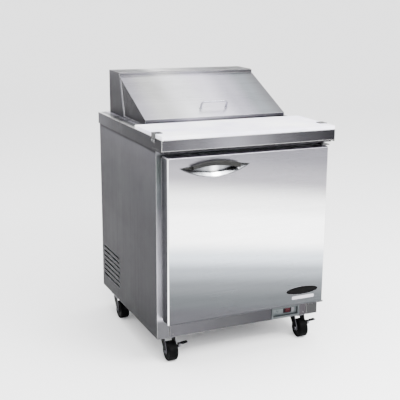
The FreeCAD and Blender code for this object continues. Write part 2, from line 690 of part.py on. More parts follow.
def pan_bars():
    """One long bar between the two rows and short ones between the columns, each with a web."""
    span = RAIL_HALF - RAIL_WALL - 0.2
    clear = RAIL_HALF - LEDGE - 0.3
    middle = (RAIL_FRONT + RAIL_BACK) / 2
    half = BAR_WIDE / 2
    long_bar = joined([block(-span, span, middle - half, middle + half, BAR_Z, BAR_Z + BAR_THICK),
                       block(-clear, clear, middle - 1, middle + 1, BAR_Z - WEB_DEEP, BAR_Z)])
    bars = [long_bar]
    ends = ((RAIL_FRONT + RAIL_WALL + 0.2, middle - half - 0.2, RAIL_FRONT + LEDGE + 0.3, middle - 1.4),
            (middle + half + 0.2, RAIL_BACK - RAIL_WALL - 0.2, middle + 1.4, RAIL_BACK - LEDGE - 0.3))
    column_width = 2 * (RAIL_HALF - RAIL_WALL) / PAN_COLUMNS
    for column in range(1, PAN_COLUMNS):
        x = -RAIL_HALF + RAIL_WALL + column * column_width
        for d0, d1, web0, web1 in ends:
            bars.append(joined([block(x - half, x + half, d0, d1, BAR_Z, BAR_Z + BAR_THICK),
                                block(x - 1, x + 1, max(web0, d0), min(web1, d1), BAR_Z - WEB_DEEP, BAR_Z)]))
    return bars


PAN_SHEET = 0.8
PAN_FLANGE = 9.0
PAN_TAPER = 9.0
PAN_CORNER_R = 20.0


def rounded_rectangle(half_x, half_y, z, radius):
    plate = Part.makeBox(2 * half_x, 2 * half_y, 1, V(-half_x, -half_y, z))
    plate = plate.makeFillet(radius, [e for e in plate.Edges if runs_along(e, Z_AXIS)])
    lowest = [f for f in plate.Faces if abs(f.CenterOfMass.z - z) < 1e-6][0]
    return lowest.OuterWire


def pan_body(half_x, half_y, top, deep, inset):
    """Tapered tub, a solid between two rounded rectangles."""
    upper = rounded_rectangle(half_x - inset, half_y - inset, top, PAN_CORNER_R - inset)
    lower = rounded_rectangle(half_x - inset - PAN_TAPER, half_y - inset - PAN_TAPER, top - deep,
                              PAN_CORNER_R - inset)
    return Part.makeLoft([upper, lower], True, True)


def food_pan(x, depth):
    """Sixth-size steam-table pan: flat rim with a turned-down edge round a tapered tub."""
    half_x, half_y = PAN_W / 2 - 0.2, PAN_L / 2 - 0.2
    tub_x, tub_y = half_x - PAN_FLANGE, half_y - PAN_FLANGE
    rim = rounded_block(-half_x, half_x, 0, 2 * half_y, PAN_TOP - 3.4, PAN_TOP, 9, Z_AXIS)
    rim.translate(V(0, -half_y - FRONT_Y, 0))
    under = rounded_block(-half_x + PAN_SHEET, half_x - PAN_SHEET, 0, 2 * (half_y - PAN_SHEET),
                          PAN_TOP - 4, PAN_TOP - PAN_SHEET, 8, Z_AXIS)
    under.translate(V(0, -half_y + PAN_SHEET - FRONT_Y, 0))
    tub = pan_body(tub_x, tub_y, PAN_TOP, PAN_DEEP, 0)
    hollow = pan_body(tub_x, tub_y, PAN_TOP, PAN_DEEP - PAN_SHEET, PAN_SHEET)
    mouth = Part.Face(rounded_rectangle(tub_x - PAN_SHEET, tub_y - PAN_SHEET, PAN_TOP - 1,
                                        PAN_CORNER_R - PAN_SHEET)).extrude(V(0, 0, 3))
    pan = joined([rim.cut(under), tub]).cut(hollow).cut(mouth)
    pan.translate(V(x, at(depth), 0))
    return pan


def food_pans():
    pans = []
    column_width = 2 * (RAIL_HALF - RAIL_WALL) / PAN_COLUMNS
    row_depth = (RAIL_BACK - RAIL_FRONT - 2 * RAIL_WALL) / PAN_ROWS
    for row in range(PAN_ROWS):
        for column in range(PAN_COLUMNS):
            x = -RAIL_HALF + RAIL_WALL + (column + 0.5) * column_width
            depth = RAIL_FRONT + RAIL_WALL + (row + 0.5) * row_depth
            pans.append(food_pan(x, depth))
    return pans


# ---- fixed hood ---------------------------------------------------------------------------
HOOD_FRONT = 612.8             # front edge of the hood's top plate
HOOD_LOW = SEAM_FOOT[1]


def on_seam(z, behind):
    """Depth of the slanted joint at a height, moved back by a clearance."""
    (d_top, z_top), (d_foot, z_foot) = SEAM_TOP, SEAM_FOOT
    return d_foot + (z - z_foot) * (d_top - d_foot) / (z_top - z_foot) + behind


def hood_side(low, top, back, front_top):
    """Outline of a hood side wall, with its slanted front edge."""
    z_top = SEAM_TOP[1]
    return [(front_top, top), (back, top), (back, low), (on_seam(low, 0.8), low),
            (on_seam(z_top, 0.8), z_top), (front_top, z_top)]


def rear_hood_shell():
    """Outer skin of the fixed rear half of the hood: top, back, two sides and a front turn-down."""
    w, back = HOOD_HALF, WORKTOP_DEPTH
    top = block(-w, w, HOOD_FRONT, back, HOOD_TOP - SHEET, HOOD_TOP)
    rear = block(-w, w, back - SHEET, back, HOOD_LOW, HOOD_TOP)
    lip = block(-w, w, HOOD_FRONT, HOOD_FRONT + SHEET, 1029.8, HOOD_TOP)
    side = side_prism(hood_side(HOOD_LOW, HOOD_TOP, back, HOOD_FRONT), -w, -w + SHEET)
    return joined([top, rear, lip] + both_sides(side))


def hood_foam():
    """Insulation of the fixed hood: a top slab, a back slab and two sides."""
    w, inner = HOOD_HALF - SHEET, HOOD_HALF - HOOD_WALL
    back = WORKTOP_DEPTH - SHEET
    inner_top = HOOD_TOP - HOOD_WALL
    low = HOOD_LOW
    top = block(-w, w, 616, back, inner_top, 1028.2)
    rear = block(-w, w, back - HOOD_WALL + SHEET, back, low, inner_top)
    rear_front = back - HOOD_WALL + SHEET
    outline = [(on_seam(inner_top, 2), inner_top), (rear_front, inner_top), (rear_front, low),
               (on_seam(low, 2), low)]
    side = side_prism(outline, -w, -inner)
    return [top, rear] + both_sides(side)


def rear_hood_liner():
    """Inner skin of the fixed hood."""
    inner = HOOD_HALF - HOOD_WALL
    rear_front = WORKTOP_DEPTH - HOOD_WALL
    inner_top = HOOD_TOP - HOOD_WALL
    top = block(-inner, inner, 616, rear_front, inner_top - SHEET, inner_top)
    rear = block(-inner, inner, rear_front - SHEET, rear_front, HOOD_LOW, inner_top)
    outline = [(on_seam(inner_top, 2), inner_top), (rear_front, inner_top), (rear_front, HOOD_LOW),
               (on_seam(HOOD_LOW, 2), HOOD_LOW)]
    side = side_prism(outline, -inner, -inner + SHEET)
    edge = [(on_seam(HOOD_LOW, 0.8), HOOD_LOW), (on_seam(HOOD_LOW, 2), HOOD_LOW),
            (on_seam(inner_top, 2), inner_top), (on_seam(inner_top, 0.8), inner_top)]
    closer = side_prism(edge, -HOOD_HALF + SHEET, -inner + SHEET)
    return joined([top, rear] + both_sides(side) + both_sides(closer))


# ---- lid ----------------------------------------------------------------------------------
def slope_point(along, inward):
    """Point on the lid's slope: a distance down from its top edge, and a distance into the lid."""
    d0, z0 = LID_BAND
    length = math.hypot(d0 - LID_FRONT, z0 - LID_LIP_TOP)
    down = ((LID_FRONT - d0) / length, (LID_LIP_TOP - z0) / length)
    inside = (-down[1], down[0])
    return (d0 + down[0] * along + inside[0] * inward, z0 + down[1] * along + inside[1] * inward)


SLOPE_LENGTH = math.hypot(LID_BAND[0] - LID_FRONT, LID_BAND[1] - LID_LIP_TOP)
LID_WALL = 24.0
LID_IN_FRONT = LID_FRONT + 19.0
LID_SEAM_GAP = -1.2
HEM_WIDTH = 16.0
HEM_THICK = 1.2
HEM_TOP = 1008.0


def lid_outline(low):
    """Side view of the lid: band, slope, lip, rim and the slanted rear edge."""
    band_d, band_z = LID_BAND
    return [(band_d, band_z), (LID_FRONT, LID_LIP_TOP), (LID_FRONT, low), (on_seam(low, LID_SEAM_GAP), low),
            (on_seam(band_z, LID_SEAM_GAP), band_z)]


def slope_height(depth, inward):
    """Height of the slope's plane, moved into the lid, at a depth."""
    d0, z0 = slope_point(0, inward)
    d1, z1 = slope_point(SLOPE_LENGTH, inward)
    return z0 + (depth - d0) * (z1 - z0) / (d1 - d0)


def lid_shell():
    """Outer skin of the lid: band, slope, front lip, two sides, an inward rim and folded rear hems."""
    w = HOOD_HALF
    band_d, band_z = LID_BAND
    band_top = 1034.0
    band = block(-w, w, band_d, band_d + SHEET, band_z - 1, band_top)
    slope = side_prism([(band_d, band_z), (LID_FRONT, LID_LIP_TOP), slope_point(SLOPE_LENGTH, SHEET),
                        slope_point(-1, SHEET)], -w, w)
    lip = block(-w, w, LID_FRONT, LID_FRONT + SHEET, LID_BOTTOM, LID_LIP_TOP)
    side = side_prism(lid_outline(LID_BOTTOM), -w, -w + SHEET)
    rim_back = on_seam(LID_BOTTOM, LID_SEAM_GAP)
    rim_front = block(-w, w, LID_FRONT, LID_IN_FRONT, LID_BOTTOM, LID_BOTTOM + SHEET)
    rim_side = block(-w, -w + LID_WALL, LID_FRONT, rim_back, LID_BOTTOM, LID_BOTTOM + SHEET)
    near, far = LID_SEAM_GAP - HEM_WIDTH, LID_SEAM_GAP
    hem_outline = [(on_seam(LID_BOTTOM, near), LID_BOTTOM), (on_seam(LID_BOTTOM, far), LID_BOTTOM),
                   (on_seam(HEM_TOP, far), HEM_TOP), (on_seam(HEM_TOP, near), HEM_TOP)]
    hem = side_prism(hem_outline, -w - HEM_THICK, -w + SHEET)
    return joined([band, slope, lip, rim_front] + both_sides(side) + both_sides(rim_side) + both_sides(hem))


def side_triangle(low):
    """Outline of a lid side wall under the slab: its front corner, rear corner and apex."""
    d_slab, z_slab = slope_point(0, LID_WALL)
    rise = (LID_BAND[1] - LID_LIP_TOP) / (LID_BAND[0] - LID_FRONT)
    lean = (SEAM_TOP[0] - SEAM_FOOT[0]) / (SEAM_TOP[1] - SEAM_FOOT[1])
    rear = on_seam(low, LID_SEAM_GAP - 1)
    apex_z = (z_slab + (rear - low * lean - d_slab) * rise) / (1 - lean * rise)
    return [(d_slab - (z_slab - low) / rise, low), (rear, low), (rear + (apex_z - low) * lean, apex_z)]


def lid_foam():
    """Insulation of the lid: a slab under the slope and one in each side."""
    inner = HOOD_HALF - LID_WALL
    low = LID_BOTTOM + SHEET
    w = HOOD_HALF - SHEET
    slab_top = slope_point(14, SHEET)
    slab_top_in = slope_point(21, LID_WALL)
    front = LID_FRONT + SHEET
    slab = side_prism([slab_top, (front, slope_height(front, SHEET)), (front, low), (LID_IN_FRONT, low),
                       slab_top_in], -w, w)
    side = side_prism(side_triangle(low), -w, -inner).cut(slab)
    return [slab] + both_sides(side)


def lid_liner():
    """Inner skin of the lid: a flat sheet under the slab and one inside each side wall."""
    inner = HOOD_HALF - LID_WALL
    low = LID_BOTTOM + SHEET
    sheet = side_prism([slope_point(22, LID_WALL), slope_point(23, LID_WALL + 1), (LID_IN_FRONT + 4, low),
                        (LID_IN_FRONT, low)], -inner, inner)
    side = side_prism(side_triangle(low), -inner, -inner + 1)
    return joined([sheet] + both_sides(side))


HINGE_HALF = 292.0
KNUCKLES = 9
KNUCKLE_R = 3.0
PIN_R = 1.5
PIN_PLAY = 0.05


def knuckle_spans(first):
    """X ranges of every second knuckle, starting from the first or the second."""
    pitch = 2 * HINGE_HALF / KNUCKLES
    return [(-HINGE_HALF + i * pitch + GAP / 2, -HINGE_HALF + (i + 1) * pitch - GAP / 2)
            for i in range(first, KNUCKLES, 2)]


def leaf(first, strip, keep_clear):
    """Hinge leaf: a strip cut back beside the other leaf's knuckles, and its own knuckles."""
    d, z = LID_AXIS
    cuts = [x_rod(x0 - GAP, x1 + GAP, d, z, KNUCKLE_R + 0.6) for x0, x1 in knuckle_spans(1 - first)]
    plate = strip.cut(Part.makeCompound(cuts + keep_clear))
    tubes = [x_rod(x0, x1, d, z, KNUCKLE_R) for x0, x1 in knuckle_spans(first)]
    bore = x_rod(-HINGE_HALF - 1, HINGE_HALF + 1, d, z, PIN_R + PIN_PLAY)
    return joined([plate] + tubes).cut(bore)


def fixed_leaf():
    d, z = LID_AXIS
    low = z - KNUCKLE_R
    strip = block(-HINGE_HALF, HINGE_HALF, d, 634, low, low + SHEET)
    clear = [block(x0 - GAP, x1 + GAP, d - 5, d + KNUCKLE_R + 0.6, low - 1, low + 3)
             for x0, x1 in knuckle_spans(1)]
    return leaf(0, strip, clear)


def moving_leaf():
    d, z = LID_AXIS
    front = d - KNUCKLE_R
    strip = block(-HINGE_HALF, HINGE_HALF, front, front + SHEET, 1013, z)
    clear = [block(x0 - GAP, x1 + GAP, front - 1, front + 3, z - KNUCKLE_R - 0.8, z + 5)
             for x0, x1 in knuckle_spans(0)]
    return leaf(1, strip, clear)


HANDLE_MIDDLE = 8.0            # the pull sits a little right of the lid's middle
HANDLE_HALF = 54.5
HANDLE_OUT = 30.0
HANDLE_R = 4.0
HANDLE_ALONG = 266.0


def lid_handle():
    """Bent-wire pull standing square to the slope."""
    foot = slope_point(HANDLE_ALONG, 0)
    tip = slope_point(HANDLE_ALONG, -HANDLE_OUT)
    left, right = HANDLE_MIDDLE - HANDLE_HALF, HANDLE_MIDDLE + HANDLE_HALF
    loop = [(left, *foot), (left, *tip), (right, *tip), (right, *foot)]
    wire = tube_along(loop, HANDLE_R, 14)
    out = V(0, tip[0] - foot[0], tip[1] - foot[1]).normalize()
    washers = [Part.makeCylinder(6.5, 1.2, V(x, at(foot[0]), foot[1]), out) for x in (left, right)]
    return joined([wire] + washers)


SEAL_GAP = 0.4


def lid_seal():
    """Soft strip under the lid's rim, on three sides."""
    low, high = WORKTOP_TOP + SEAL_GAP, LID_BOTTOM
    inner = HOOD_HALF - LID_WALL + 1
    front = block(-HOOD_HALF + 2, HOOD_HALF - 2, LID_FRONT + 2, LID_IN_FRONT - 1, low, high)
    side = block(-HOOD_HALF + 2, -inner, LID_IN_FRONT - 0.8, on_seam(low, -3), low, high)
    return [front] + both_sides(side)


# ---- cutting board ------------------------------------------------------------------------
CLIP_FRONT = 61.0
CLIP_BACK = 98.0
CLIP_THICK = 1.8
CLIP_TAB = 30.0
CLIP_LOW = 844.0
CLIP_GAP = 0.4


def cutting_board():
    board = block(-WORKTOP_HALF + 0.5, WORKTOP_HALF - 0.5, 0, BOARD_DEPTH, BOARD_BOTTOM, BOARD_TOP)
    board = board.makeFillet(3, [e for e in board.Edges if runs_along(e, Z_AXIS)])
    return board.makeFillet(1.2, [e for e in board.Edges if e.BoundBox.ZLength < 0.01])


CLIP_SCREW_DEPTHS = (CLIP_FRONT + 8, CLIP_BACK - 8)
CLIP_SCREW_Z = CLIP_LOW + 7
CLIP_SCREW_R = 2.0


def board_clips():
    """Screwed-on side strips, each with a tab folded over the board."""
    outer = -WORKTOP_HALF - CLIP_THICK
    low_tab = BOARD_TOP + CLIP_GAP
    strip = block(outer, -WORKTOP_HALF, CLIP_FRONT, CLIP_BACK, CLIP_LOW, low_tab + CLIP_THICK)
    tab = block(outer, -WORKTOP_HALF + CLIP_TAB, CLIP_FRONT, CLIP_BACK, low_tab, low_tab + CLIP_THICK)
    tab_end = -WORKTOP_HALF + CLIP_TAB
    tab = rounded(tab, 8, lambda e: runs_along(e, Z_AXIS) and abs(e.CenterOfMass.x - tab_end) < 1)
    clip = joined([strip, tab])
    holes = [x_rod(outer - 1, -WORKTOP_HALF + 1, depth, CLIP_SCREW_Z, CLIP_SCREW_R + 0.1)
             for depth in CLIP_SCREW_DEPTHS]
    return both_sides(clip.cut(Part.makeCompound(holes)))


def fasteners():
    """Clip screws and the casters' hexagon bolts with their nuts."""
    outer = -WORKTOP_HALF - CLIP_THICK
    pieces = []
    for depth in CLIP_SCREW_DEPTHS:
        head = x_rod(outer - 1.6, outer, depth, CLIP_SCREW_Z, 3.8)
        head = head.makeFillet(0.9, [e for e in head.Edges if abs(e.BoundBox.XMax - (outer - 1.6)) < 0.01])
        shank = x_rod(outer - 0.5, -WORKTOP_HALF, depth, CLIP_SCREW_Z, CLIP_SCREW_R)
        pieces += both_sides(joined([head, shank]))
    for _, x, depth in caster_sites():
        for bx, bd in plate_bolt_spots(x, depth):
            head = hexagon(bx, bd, PLATE_LOW - 5, PLATE_LOW, 12)
            shank = z_rod(bx, bd, PLATE_LOW - 1, BASE + 10, BOLT_R)
            nut = hexagon(bx, bd, BASE + 2, BASE + 8, 12)
            pieces.append(joined([head, shank, nut]))
    return pieces


# ---- casters ------------------------------------------------------------------------------
PLATE_LOW = BASE - 2.5
PLATE_HALF = (30.0, 38.0)
RACE_R = 28.0
RACE_LOW = 92.2
KING_R = 6.0
KING_PLAY = 0.06
CROWN = (86.0, 91.7)
LEG_THICK = 2.5
LEG_GAP = WHEEL_WIDTH / 2 + 1.0
AXLE_R = 4.0
AXLE_PLAY = 0.06


def caster_plate(x, depth):
    """Top plate with its pressed race and the riveted kingpin."""
    half_x, half_d = PLATE_HALF
    plate = rounded_block(x - half_x, x + half_x, depth - half_d, depth + half_d, PLATE_LOW, BASE, 6, Z_AXIS)
    holes = [z_rod(bx, bd, PLATE_LOW - 1, BASE + 1, BOLT_HOLE_R) for bx, bd in plate_bolt_spots(x, depth)]
    race = Part.makeCone(RACE_R, RACE_R - 1.5, PLATE_LOW - RACE_LOW, V(x, at(depth), RACE_LOW))
    king = z_rod(x, depth, CROWN[0] - 1, RACE_LOW + 1, KING_R)
    head = z_rod(x, depth, CROWN[0] - 3.5, CROWN[0] - 0.5, 10)
    return joined([plate.cut(Part.makeCompound(holes)), race, king, head])


def caster_fork(x, depth, braked):
    """Swivel fork, its axle bolt and nut, and on a braked caster the strap that holds the pedal."""
    low, high = CROWN
    axle = depth - TRAIL
    outside = LEG_GAP + LEG_THICK
    crown = block(x - outside, x + outside, depth - 27, depth + 27, low, high)
    crown = crown.common(z_rod(x, depth, low, high, 27.5))
    outline = [(depth - 22, high), (depth + 24, high), (depth + 19, 74), (axle + 12, WHEEL_R - 4),
               (axle + 7, WHEEL_R - 11), (axle - 7, WHEEL_R - 11), (axle - 12, WHEEL_R - 4),
               (axle - 12, WHEEL_R + 8), (depth - 24, 76)]
    legs = [side_prism(outline, x - outside, x - LEG_GAP), side_prism(outline, x + LEG_GAP, x + outside)]
    hole = x_rod(x - outside - 1, x + outside + 1, axle, WHEEL_R, AXLE_R + AXLE_PLAY)
    king = z_rod(x, depth, low - 1, high + 1, KING_R + KING_PLAY)
    fork = joined([crown] + legs).cut(Part.makeCompound([hole, king]))
    bolt_end = x + outside + (4.5 if not braked else 6.5)
    bolt = joined([x_rod(x - outside - 1, bolt_end, axle, WHEEL_R, AXLE_R),
                   axle_hex(x - outside - 4.5, x - outside, axle)])
    nut = axle_hex(bolt_end - 4.5, bolt_end, axle).cut(x_rod(x, bolt_end + 1, axle, WHEEL_R, AXLE_R + 0.02))
    solids = [fork, bolt, nut]
    if braked:
        solids.append(brake_strap(x, axle))
    return solids


def axle_hex(x0, x1, depth):
    """Hexagonal head or nut on the axle line."""
    corner = 13 / math.sqrt(3)
    turns = [math.radians(60 * i) for i in range(7)]
    ring = [V(x0, at(depth) + corner * math.cos(a), WHEEL_R + corner * math.sin(a)) for a in turns]
    return Part.Face(Part.makePolygon(ring)).extrude(V(x1 - x0, 0, 0))


STRAP_HALF = 7.0
STRAP_THICK = 1.8
PEDAL_PIVOT_OUT = 34.0
PEDAL_Z = 58.0
PEDAL_LENGTH = 34.0
PEDAL_HALF = 8.5
PEDAL_THICK = 3.0
PEDAL_TILT = 6.0
PEDAL_PIN_R = 2.0


def brake_strap(x, axle):
    """Bent strap from the axle up and out to the pedal's pin, ending in two ears."""
    start = x + LEG_GAP + LEG_THICK + 0.1
    pivot = x + PEDAL_PIVOT_OUT
    outline = [(start, WHEEL_R - 8), (start + STRAP_THICK, WHEEL_R - 8), (start + STRAP_THICK, WHEEL_R + 8),
               (pivot + 1, PEDAL_Z - 9), (pivot + 1, PEDAL_Z - 5.5), (pivot - 1, PEDAL_Z - 5.5),
               (start, WHEEL_R + 9.5)]
    wire = Part.makePolygon([V(px, at(axle) - STRAP_HALF, pz) for px, pz in outline + outline[:1]])
    strap = Part.Face(wire).extrude(V(0, 2 * STRAP_HALF, 0))
    bridge = block(pivot - 4, pivot + 4, axle - STRAP_HALF, axle + STRAP_HALF, PEDAL_Z - 7.5, PEDAL_Z - 5.5)
    ears = [block(pivot - 4, pivot + 4, axle + s * STRAP_HALF - 1, axle + s * STRAP_HALF + 1,
                  PEDAL_Z - 7.5, PEDAL_Z + 3.5) for s in (-1, 1)]
    pin = y_rod(pivot, axle - STRAP_HALF - 1, axle + STRAP_HALF + 1, PEDAL_Z, PEDAL_PIN_R)
    hole = x_rod(start - 1, start + STRAP_THICK + 1, axle, WHEEL_R, AXLE_R + AXLE_PLAY)
    return joined([strap, bridge, pin] + ears).cut(hole)


def brake_pedal(x, depth):
    """Foot lever on the strap's pin: a bored boss with a flat tread tilted up a little."""
    axle = depth - TRAIL
    pivot = x + PEDAL_PIVOT_OUT
    half = STRAP_HALF - 1 - GAP
    boss = y_rod(pivot, axle - half, axle + half, PEDAL_Z, 4.6)
    neck = block(pivot, pivot + 10, axle - half, axle + half, PEDAL_Z - 1, PEDAL_Z + PEDAL_THICK)
    tread = rounded_block(pivot + 7, pivot + PEDAL_LENGTH, axle - PEDAL_HALF, axle + PEDAL_HALF,
                          PEDAL_Z, PEDAL_Z + PEDAL_THICK, 4, Z_AXIS)
    lever = joined([neck, tread])
    lever.rotate(V(pivot, at(axle), PEDAL_Z), Y_AXIS, -PEDAL_TILT)
    bore = y_rod(pivot, axle - half - 1, axle + half + 1, PEDAL_Z, PEDAL_PIN_R + AXLE_PLAY)
    return joined([boss, lever]).cut(bore)


def caster_wheel(x, depth):
    """Solid wheel: a crowned tread, dished faces and a bored hub."""
    half = WHEEL_WIDTH / 2
    profile = [(-half, AXLE_R + AXLE_PLAY), (-half, 12), (-half + 3, 14), (-half + 3, 29), (-half + 1, 31),
               (-half + 1, WHEEL_R - 2.5), (-half + 3, WHEEL_R)]
    right = [(-px, r) for px, r in reversed(profile)]
    points = [V(px, 0, r) for px, r in profile + right]
    face = Part.Face(Part.makePolygon(points + points[:1]))
    wheel = face.revolve(V(0, 0, 0), X_AXIS, 360)
    wheel.translate(V(x, at(depth - TRAIL), WHEEL_R))
    return wheel


# ---- door ---------------------------------------------------------------------------------
LENS_MIDDLE = -145.5           # door handle recess, measured on the door's face
LENS_HALF = 135.5
LENS_Z = 757.5
LENS_UP = 11.0
LENS_DOWN = 37.0
DISH_DEEP = 22.0
DISH_SHEET = 1.0
DISH_SLOPE = 7.0               # depth of the sloping band round the pocket
BAND = (20.0, 2.0, 12.0)       # its width at the ends, above and below
NO_BAND = (0.0, 0.0, 0.0)


def lens_wire(depth, shrink, band):
    """Outline of two arcs, drawn in by an even amount and by a band's three widths."""
    ends, up, down = band
    half = LENS_HALF - 2 * shrink - ends
    left = V(LENS_MIDDLE - half, at(depth), LENS_Z)
    right = V(LENS_MIDDLE + half, at(depth), LENS_Z)
    top = V(LENS_MIDDLE, at(depth), LENS_Z + LENS_UP - shrink - up)
    bottom = V(LENS_MIDDLE, at(depth), LENS_Z - LENS_DOWN + shrink + down)
    return Part.Wire([Part.Arc(left, top, right).toShape(), Part.Arc(right, bottom, left).toShape()])


def lens(d0, d1, shrink, band=NO_BAND):
    """Lens-shaped prism between two depths."""
    return Part.Face(lens_wire(d0, shrink, band)).extrude(V(0, d1 - d0, 0))


def door_block(inset, front, back, radius):
    """Door-shaped box with its front edges and its corners rounded."""
    box = block(-DOOR_HALF + inset, DOOR_HALF - inset, front, back, DOOR_BOTTOM + inset, DOOR_TOP - inset)
    box = box.makeFillet(radius, [e for e in box.Edges if runs_along(e, Y_AXIS)])
    return box.makeFillet(radius - 0.5, [e for e in box.Edges if e.BoundBox.YMax < at(front) + 0.01])


BUSH_R = 9.0
BUSH_DEEP = 16.0
BULGE_HALF = 276.0             # raised middle of the door's inner pan
BULGE = (222.0, 752.0)
BULGE_DEEP = 12.0


def bush_pockets(play):
    x, depth = DOOR_PIVOT
    return [z_rod(x, depth, DOOR_TOP - BUSH_DEEP, DOOR_TOP + 1, BUSH_R + play),
            z_rod(x, depth, DOOR_BOTTOM - 1, DOOR_BOTTOM + BUSH_DEEP, BUSH_R + play)]


def door_skin():
    """Outer door pan, cut out for the handle dish and the two hinge bushes."""
    outer = door_block(0, DOOR_FRONT, DOOR_BACK, DOOR_EDGE_R)
    inner = door_block(1, DOOR_FRONT + 1, DOOR_BACK + 1, DOOR_EDGE_R - 1)
    window = lens(DOOR_FRONT - 1, DOOR_FRONT + DISH_SLOPE, 0)
    return outer.cut(inner).cut(window).cut(Part.makeCompound(bush_pockets(0)))


def door_foam():
    """Insulation that fills the door, clear of the dish and the bushes."""
    fill = door_block(1, DOOR_FRONT + 1, DOOR_BACK, DOOR_EDGE_R - 1)
    pocket = lens(DOOR_FRONT - 1, DOOR_FRONT + DISH_DEEP, -0.1)
    fill = fill.cut(pocket).cut(Part.makeCompound(bush_pockets(0)))
    bulge = rounded_block(-BULGE_HALF + 1.5, BULGE_HALF - 1.5, DOOR_BACK, DOOR_BACK + BULGE_DEEP - 1.5,
                          BULGE[0] + 1.5, BULGE[1] - 1.5, 12.5, Y_AXIS)
    return [fill, bulge]


def door_liner():
    """Inner door pan: a flat border for the gasket and a raised middle."""
    border = block(-DOOR_HALF + 3, DOOR_HALF - 3, DOOR_BACK, DOOR_BACK + 1.5, DOOR_BOTTOM + 3, DOOR_TOP - 3)
    border = border.cut(block(-BULGE_HALF + 3, BULGE_HALF - 3, DOOR_BACK - 1, DOOR_BACK + 3,
                              BULGE[0] + 3, BULGE[1] - 3))
    raised = rounded_block(-BULGE_HALF, BULGE_HALF, DOOR_BACK, DOOR_BACK + BULGE_DEEP, *BULGE, 14, Y_AXIS)
    hollow = rounded_block(-BULGE_HALF + 1.5, BULGE_HALF - 1.5, DOOR_BACK - 1, DOOR_BACK + BULGE_DEEP - 1.5,
                           BULGE[0] + 1.5, BULGE[1] - 1.5, 12.5, Y_AXIS)
    return joined([border, raised]).cut(hollow)


GASKET_OUT = 317.5             # on the hinge side, where it has to swing clear
GASKET_LATCH = 326.0           # on the grip side
GASKET_IN = 300.0


def door_gasket():
    """Magnetic gasket: a hollow-looking frame between the door and the cabinet's face."""
    front, back = DOOR_BACK + 1.5, FRAME_FRONT - SHEET - GAP
    rise = GASKET_OUT - GASKET_IN
    low, high = DOOR_BOTTOM + 10.5, DOOR_TOP - 10.5
    outer = block(-GASKET_LATCH, GASKET_OUT, front, back, low, high)
    inner = block(-GASKET_IN, GASKET_IN, front - 1, back + 1, low + rise, high - rise)
    waist = outer.cut(inner)
    groove = block(-GASKET_LATCH - 1, GASKET_OUT + 1, front + 5, front + 8, low - 1, high + 1)
    core = block(-GASKET_LATCH + 3, GASKET_OUT - 3, front + 5, front + 8, low + 3, high - 3)
    return waist.cut(groove.cut(core))


def dish_body(shrink):
    """Sloping band that leads into a straight pocket, as a solid."""
    face, step, floor = DOOR_FRONT, DOOR_FRONT + DISH_SLOPE - shrink / 2, DOOR_FRONT + DISH_DEEP - shrink
    slope = Part.makeLoft([lens_wire(face, shrink, NO_BAND), lens_wire(step, shrink, BAND)], True, True)
    return slope.fuse(lens(step, floor, shrink, BAND))


def handle_dish():
    """Lens-shaped pan let into the door behind the grip, with a thin rim on the door's face."""
    rim = lens(DOOR_FRONT - 0.8, DOOR_FRONT, -1.5).cut(lens(DOOR_FRONT - 2, DOOR_FRONT + 1, DISH_SHEET))
    return joined([rim, dish_body(0).cut(dish_body(DISH_SHEET))])


GRIP_LEFT = -238.0
GRIP_RIGHT = -52.0
GRIP_LEFT_Z = (753.5, 765.5)   # underside and top of the bar's left end
GRIP_MIDDLE_Z = (763.0, 781.0)
GRIP_RIGHT_Z = (748.5, 766.5)
GRIP_FRONT = -GRIP_PROUD
GRIP_THICK = 13.0
WING_LEFT = (-279.0, 12.0)     # X of the left wing's tip, and its height where it leaves the bar
WING_RIGHT = (-13.0, 5.0)
WING_TIP = 1.6


def grip_arc(row):
    """Underside (row 0) or top (row 1) of the grip."""
    left = V(GRIP_LEFT, at(GRIP_FRONT), GRIP_LEFT_Z[row])
    middle = V((GRIP_LEFT + GRIP_RIGHT) / 2, at(GRIP_FRONT), GRIP_MIDDLE_Z[row])
    right = V(GRIP_RIGHT, at(GRIP_FRONT), GRIP_RIGHT_Z[row])
    return left, right, Part.Arc(left, middle, right).toShape()


def wing(start, tip, high):
    """Flat tapering tail on the dish's rim, from the grip's foot to the lens's corner."""
    outline = [(start, LENS_Z - high / 2), (tip, LENS_Z - WING_TIP / 2), (tip, LENS_Z + WING_TIP / 2),
               (start, LENS_Z + high / 2)]
    return front_prism(outline, DOOR_FRONT - 3.4, DOOR_FRONT - 0.9)


def handle_grip():
    """Arched grip bar, with a foot and a flat wing at each end."""
    low_left, low_right, low = grip_arc(0)
    top_left, top_right, top = grip_arc(1)
    edges = [top, Part.LineSegment(top_right, low_right).toShape(), low,
             Part.LineSegment(low_left, top_left).toShape()]
    bar = Part.Face(Part.Wire(Part.__sortEdges__(edges))).extrude(V(0, GRIP_THICK, 0))
    bar = bar.makeFillet(4, [e for e in bar.Edges if e.BoundBox.YMax < at(GRIP_FRONT) + 0.01])
    foot_back = DOOR_FRONT - 0.9
    feet = [block(x - 7, x + 7, GRIP_FRONT + GRIP_THICK - 2, foot_back, LENS_Z - 3, LENS_Z + 4)
            for x in (GRIP_LEFT + 8, GRIP_RIGHT - 8)]
    wings = [wing(GRIP_LEFT + 12, *WING_LEFT), wing(GRIP_RIGHT - 12, *WING_RIGHT)]
    return joined([bar] + feet + wings)


PIN_DOOR_R = 4.0


def hinge_pins():
    """Long pin of the lid's piano hinge and the two stub pins of the door."""
    d, z = LID_AXIS
    x, depth = DOOR_PIVOT
    long_pin = x_rod(-HINGE_HALF, HINGE_HALF, d, z, PIN_R)
    upper = z_rod(x, depth, DOOR_TOP - BUSH_DEEP + 3, DOOR_TOP + BRACKET_GAP, PIN_DOOR_R)
    lower = z_rod(x, depth, DOOR_BOTTOM - BRACKET_GAP, DOOR_BOTTOM + BUSH_DEEP - 3, PIN_DOOR_R)
    return [long_pin, upper, lower]


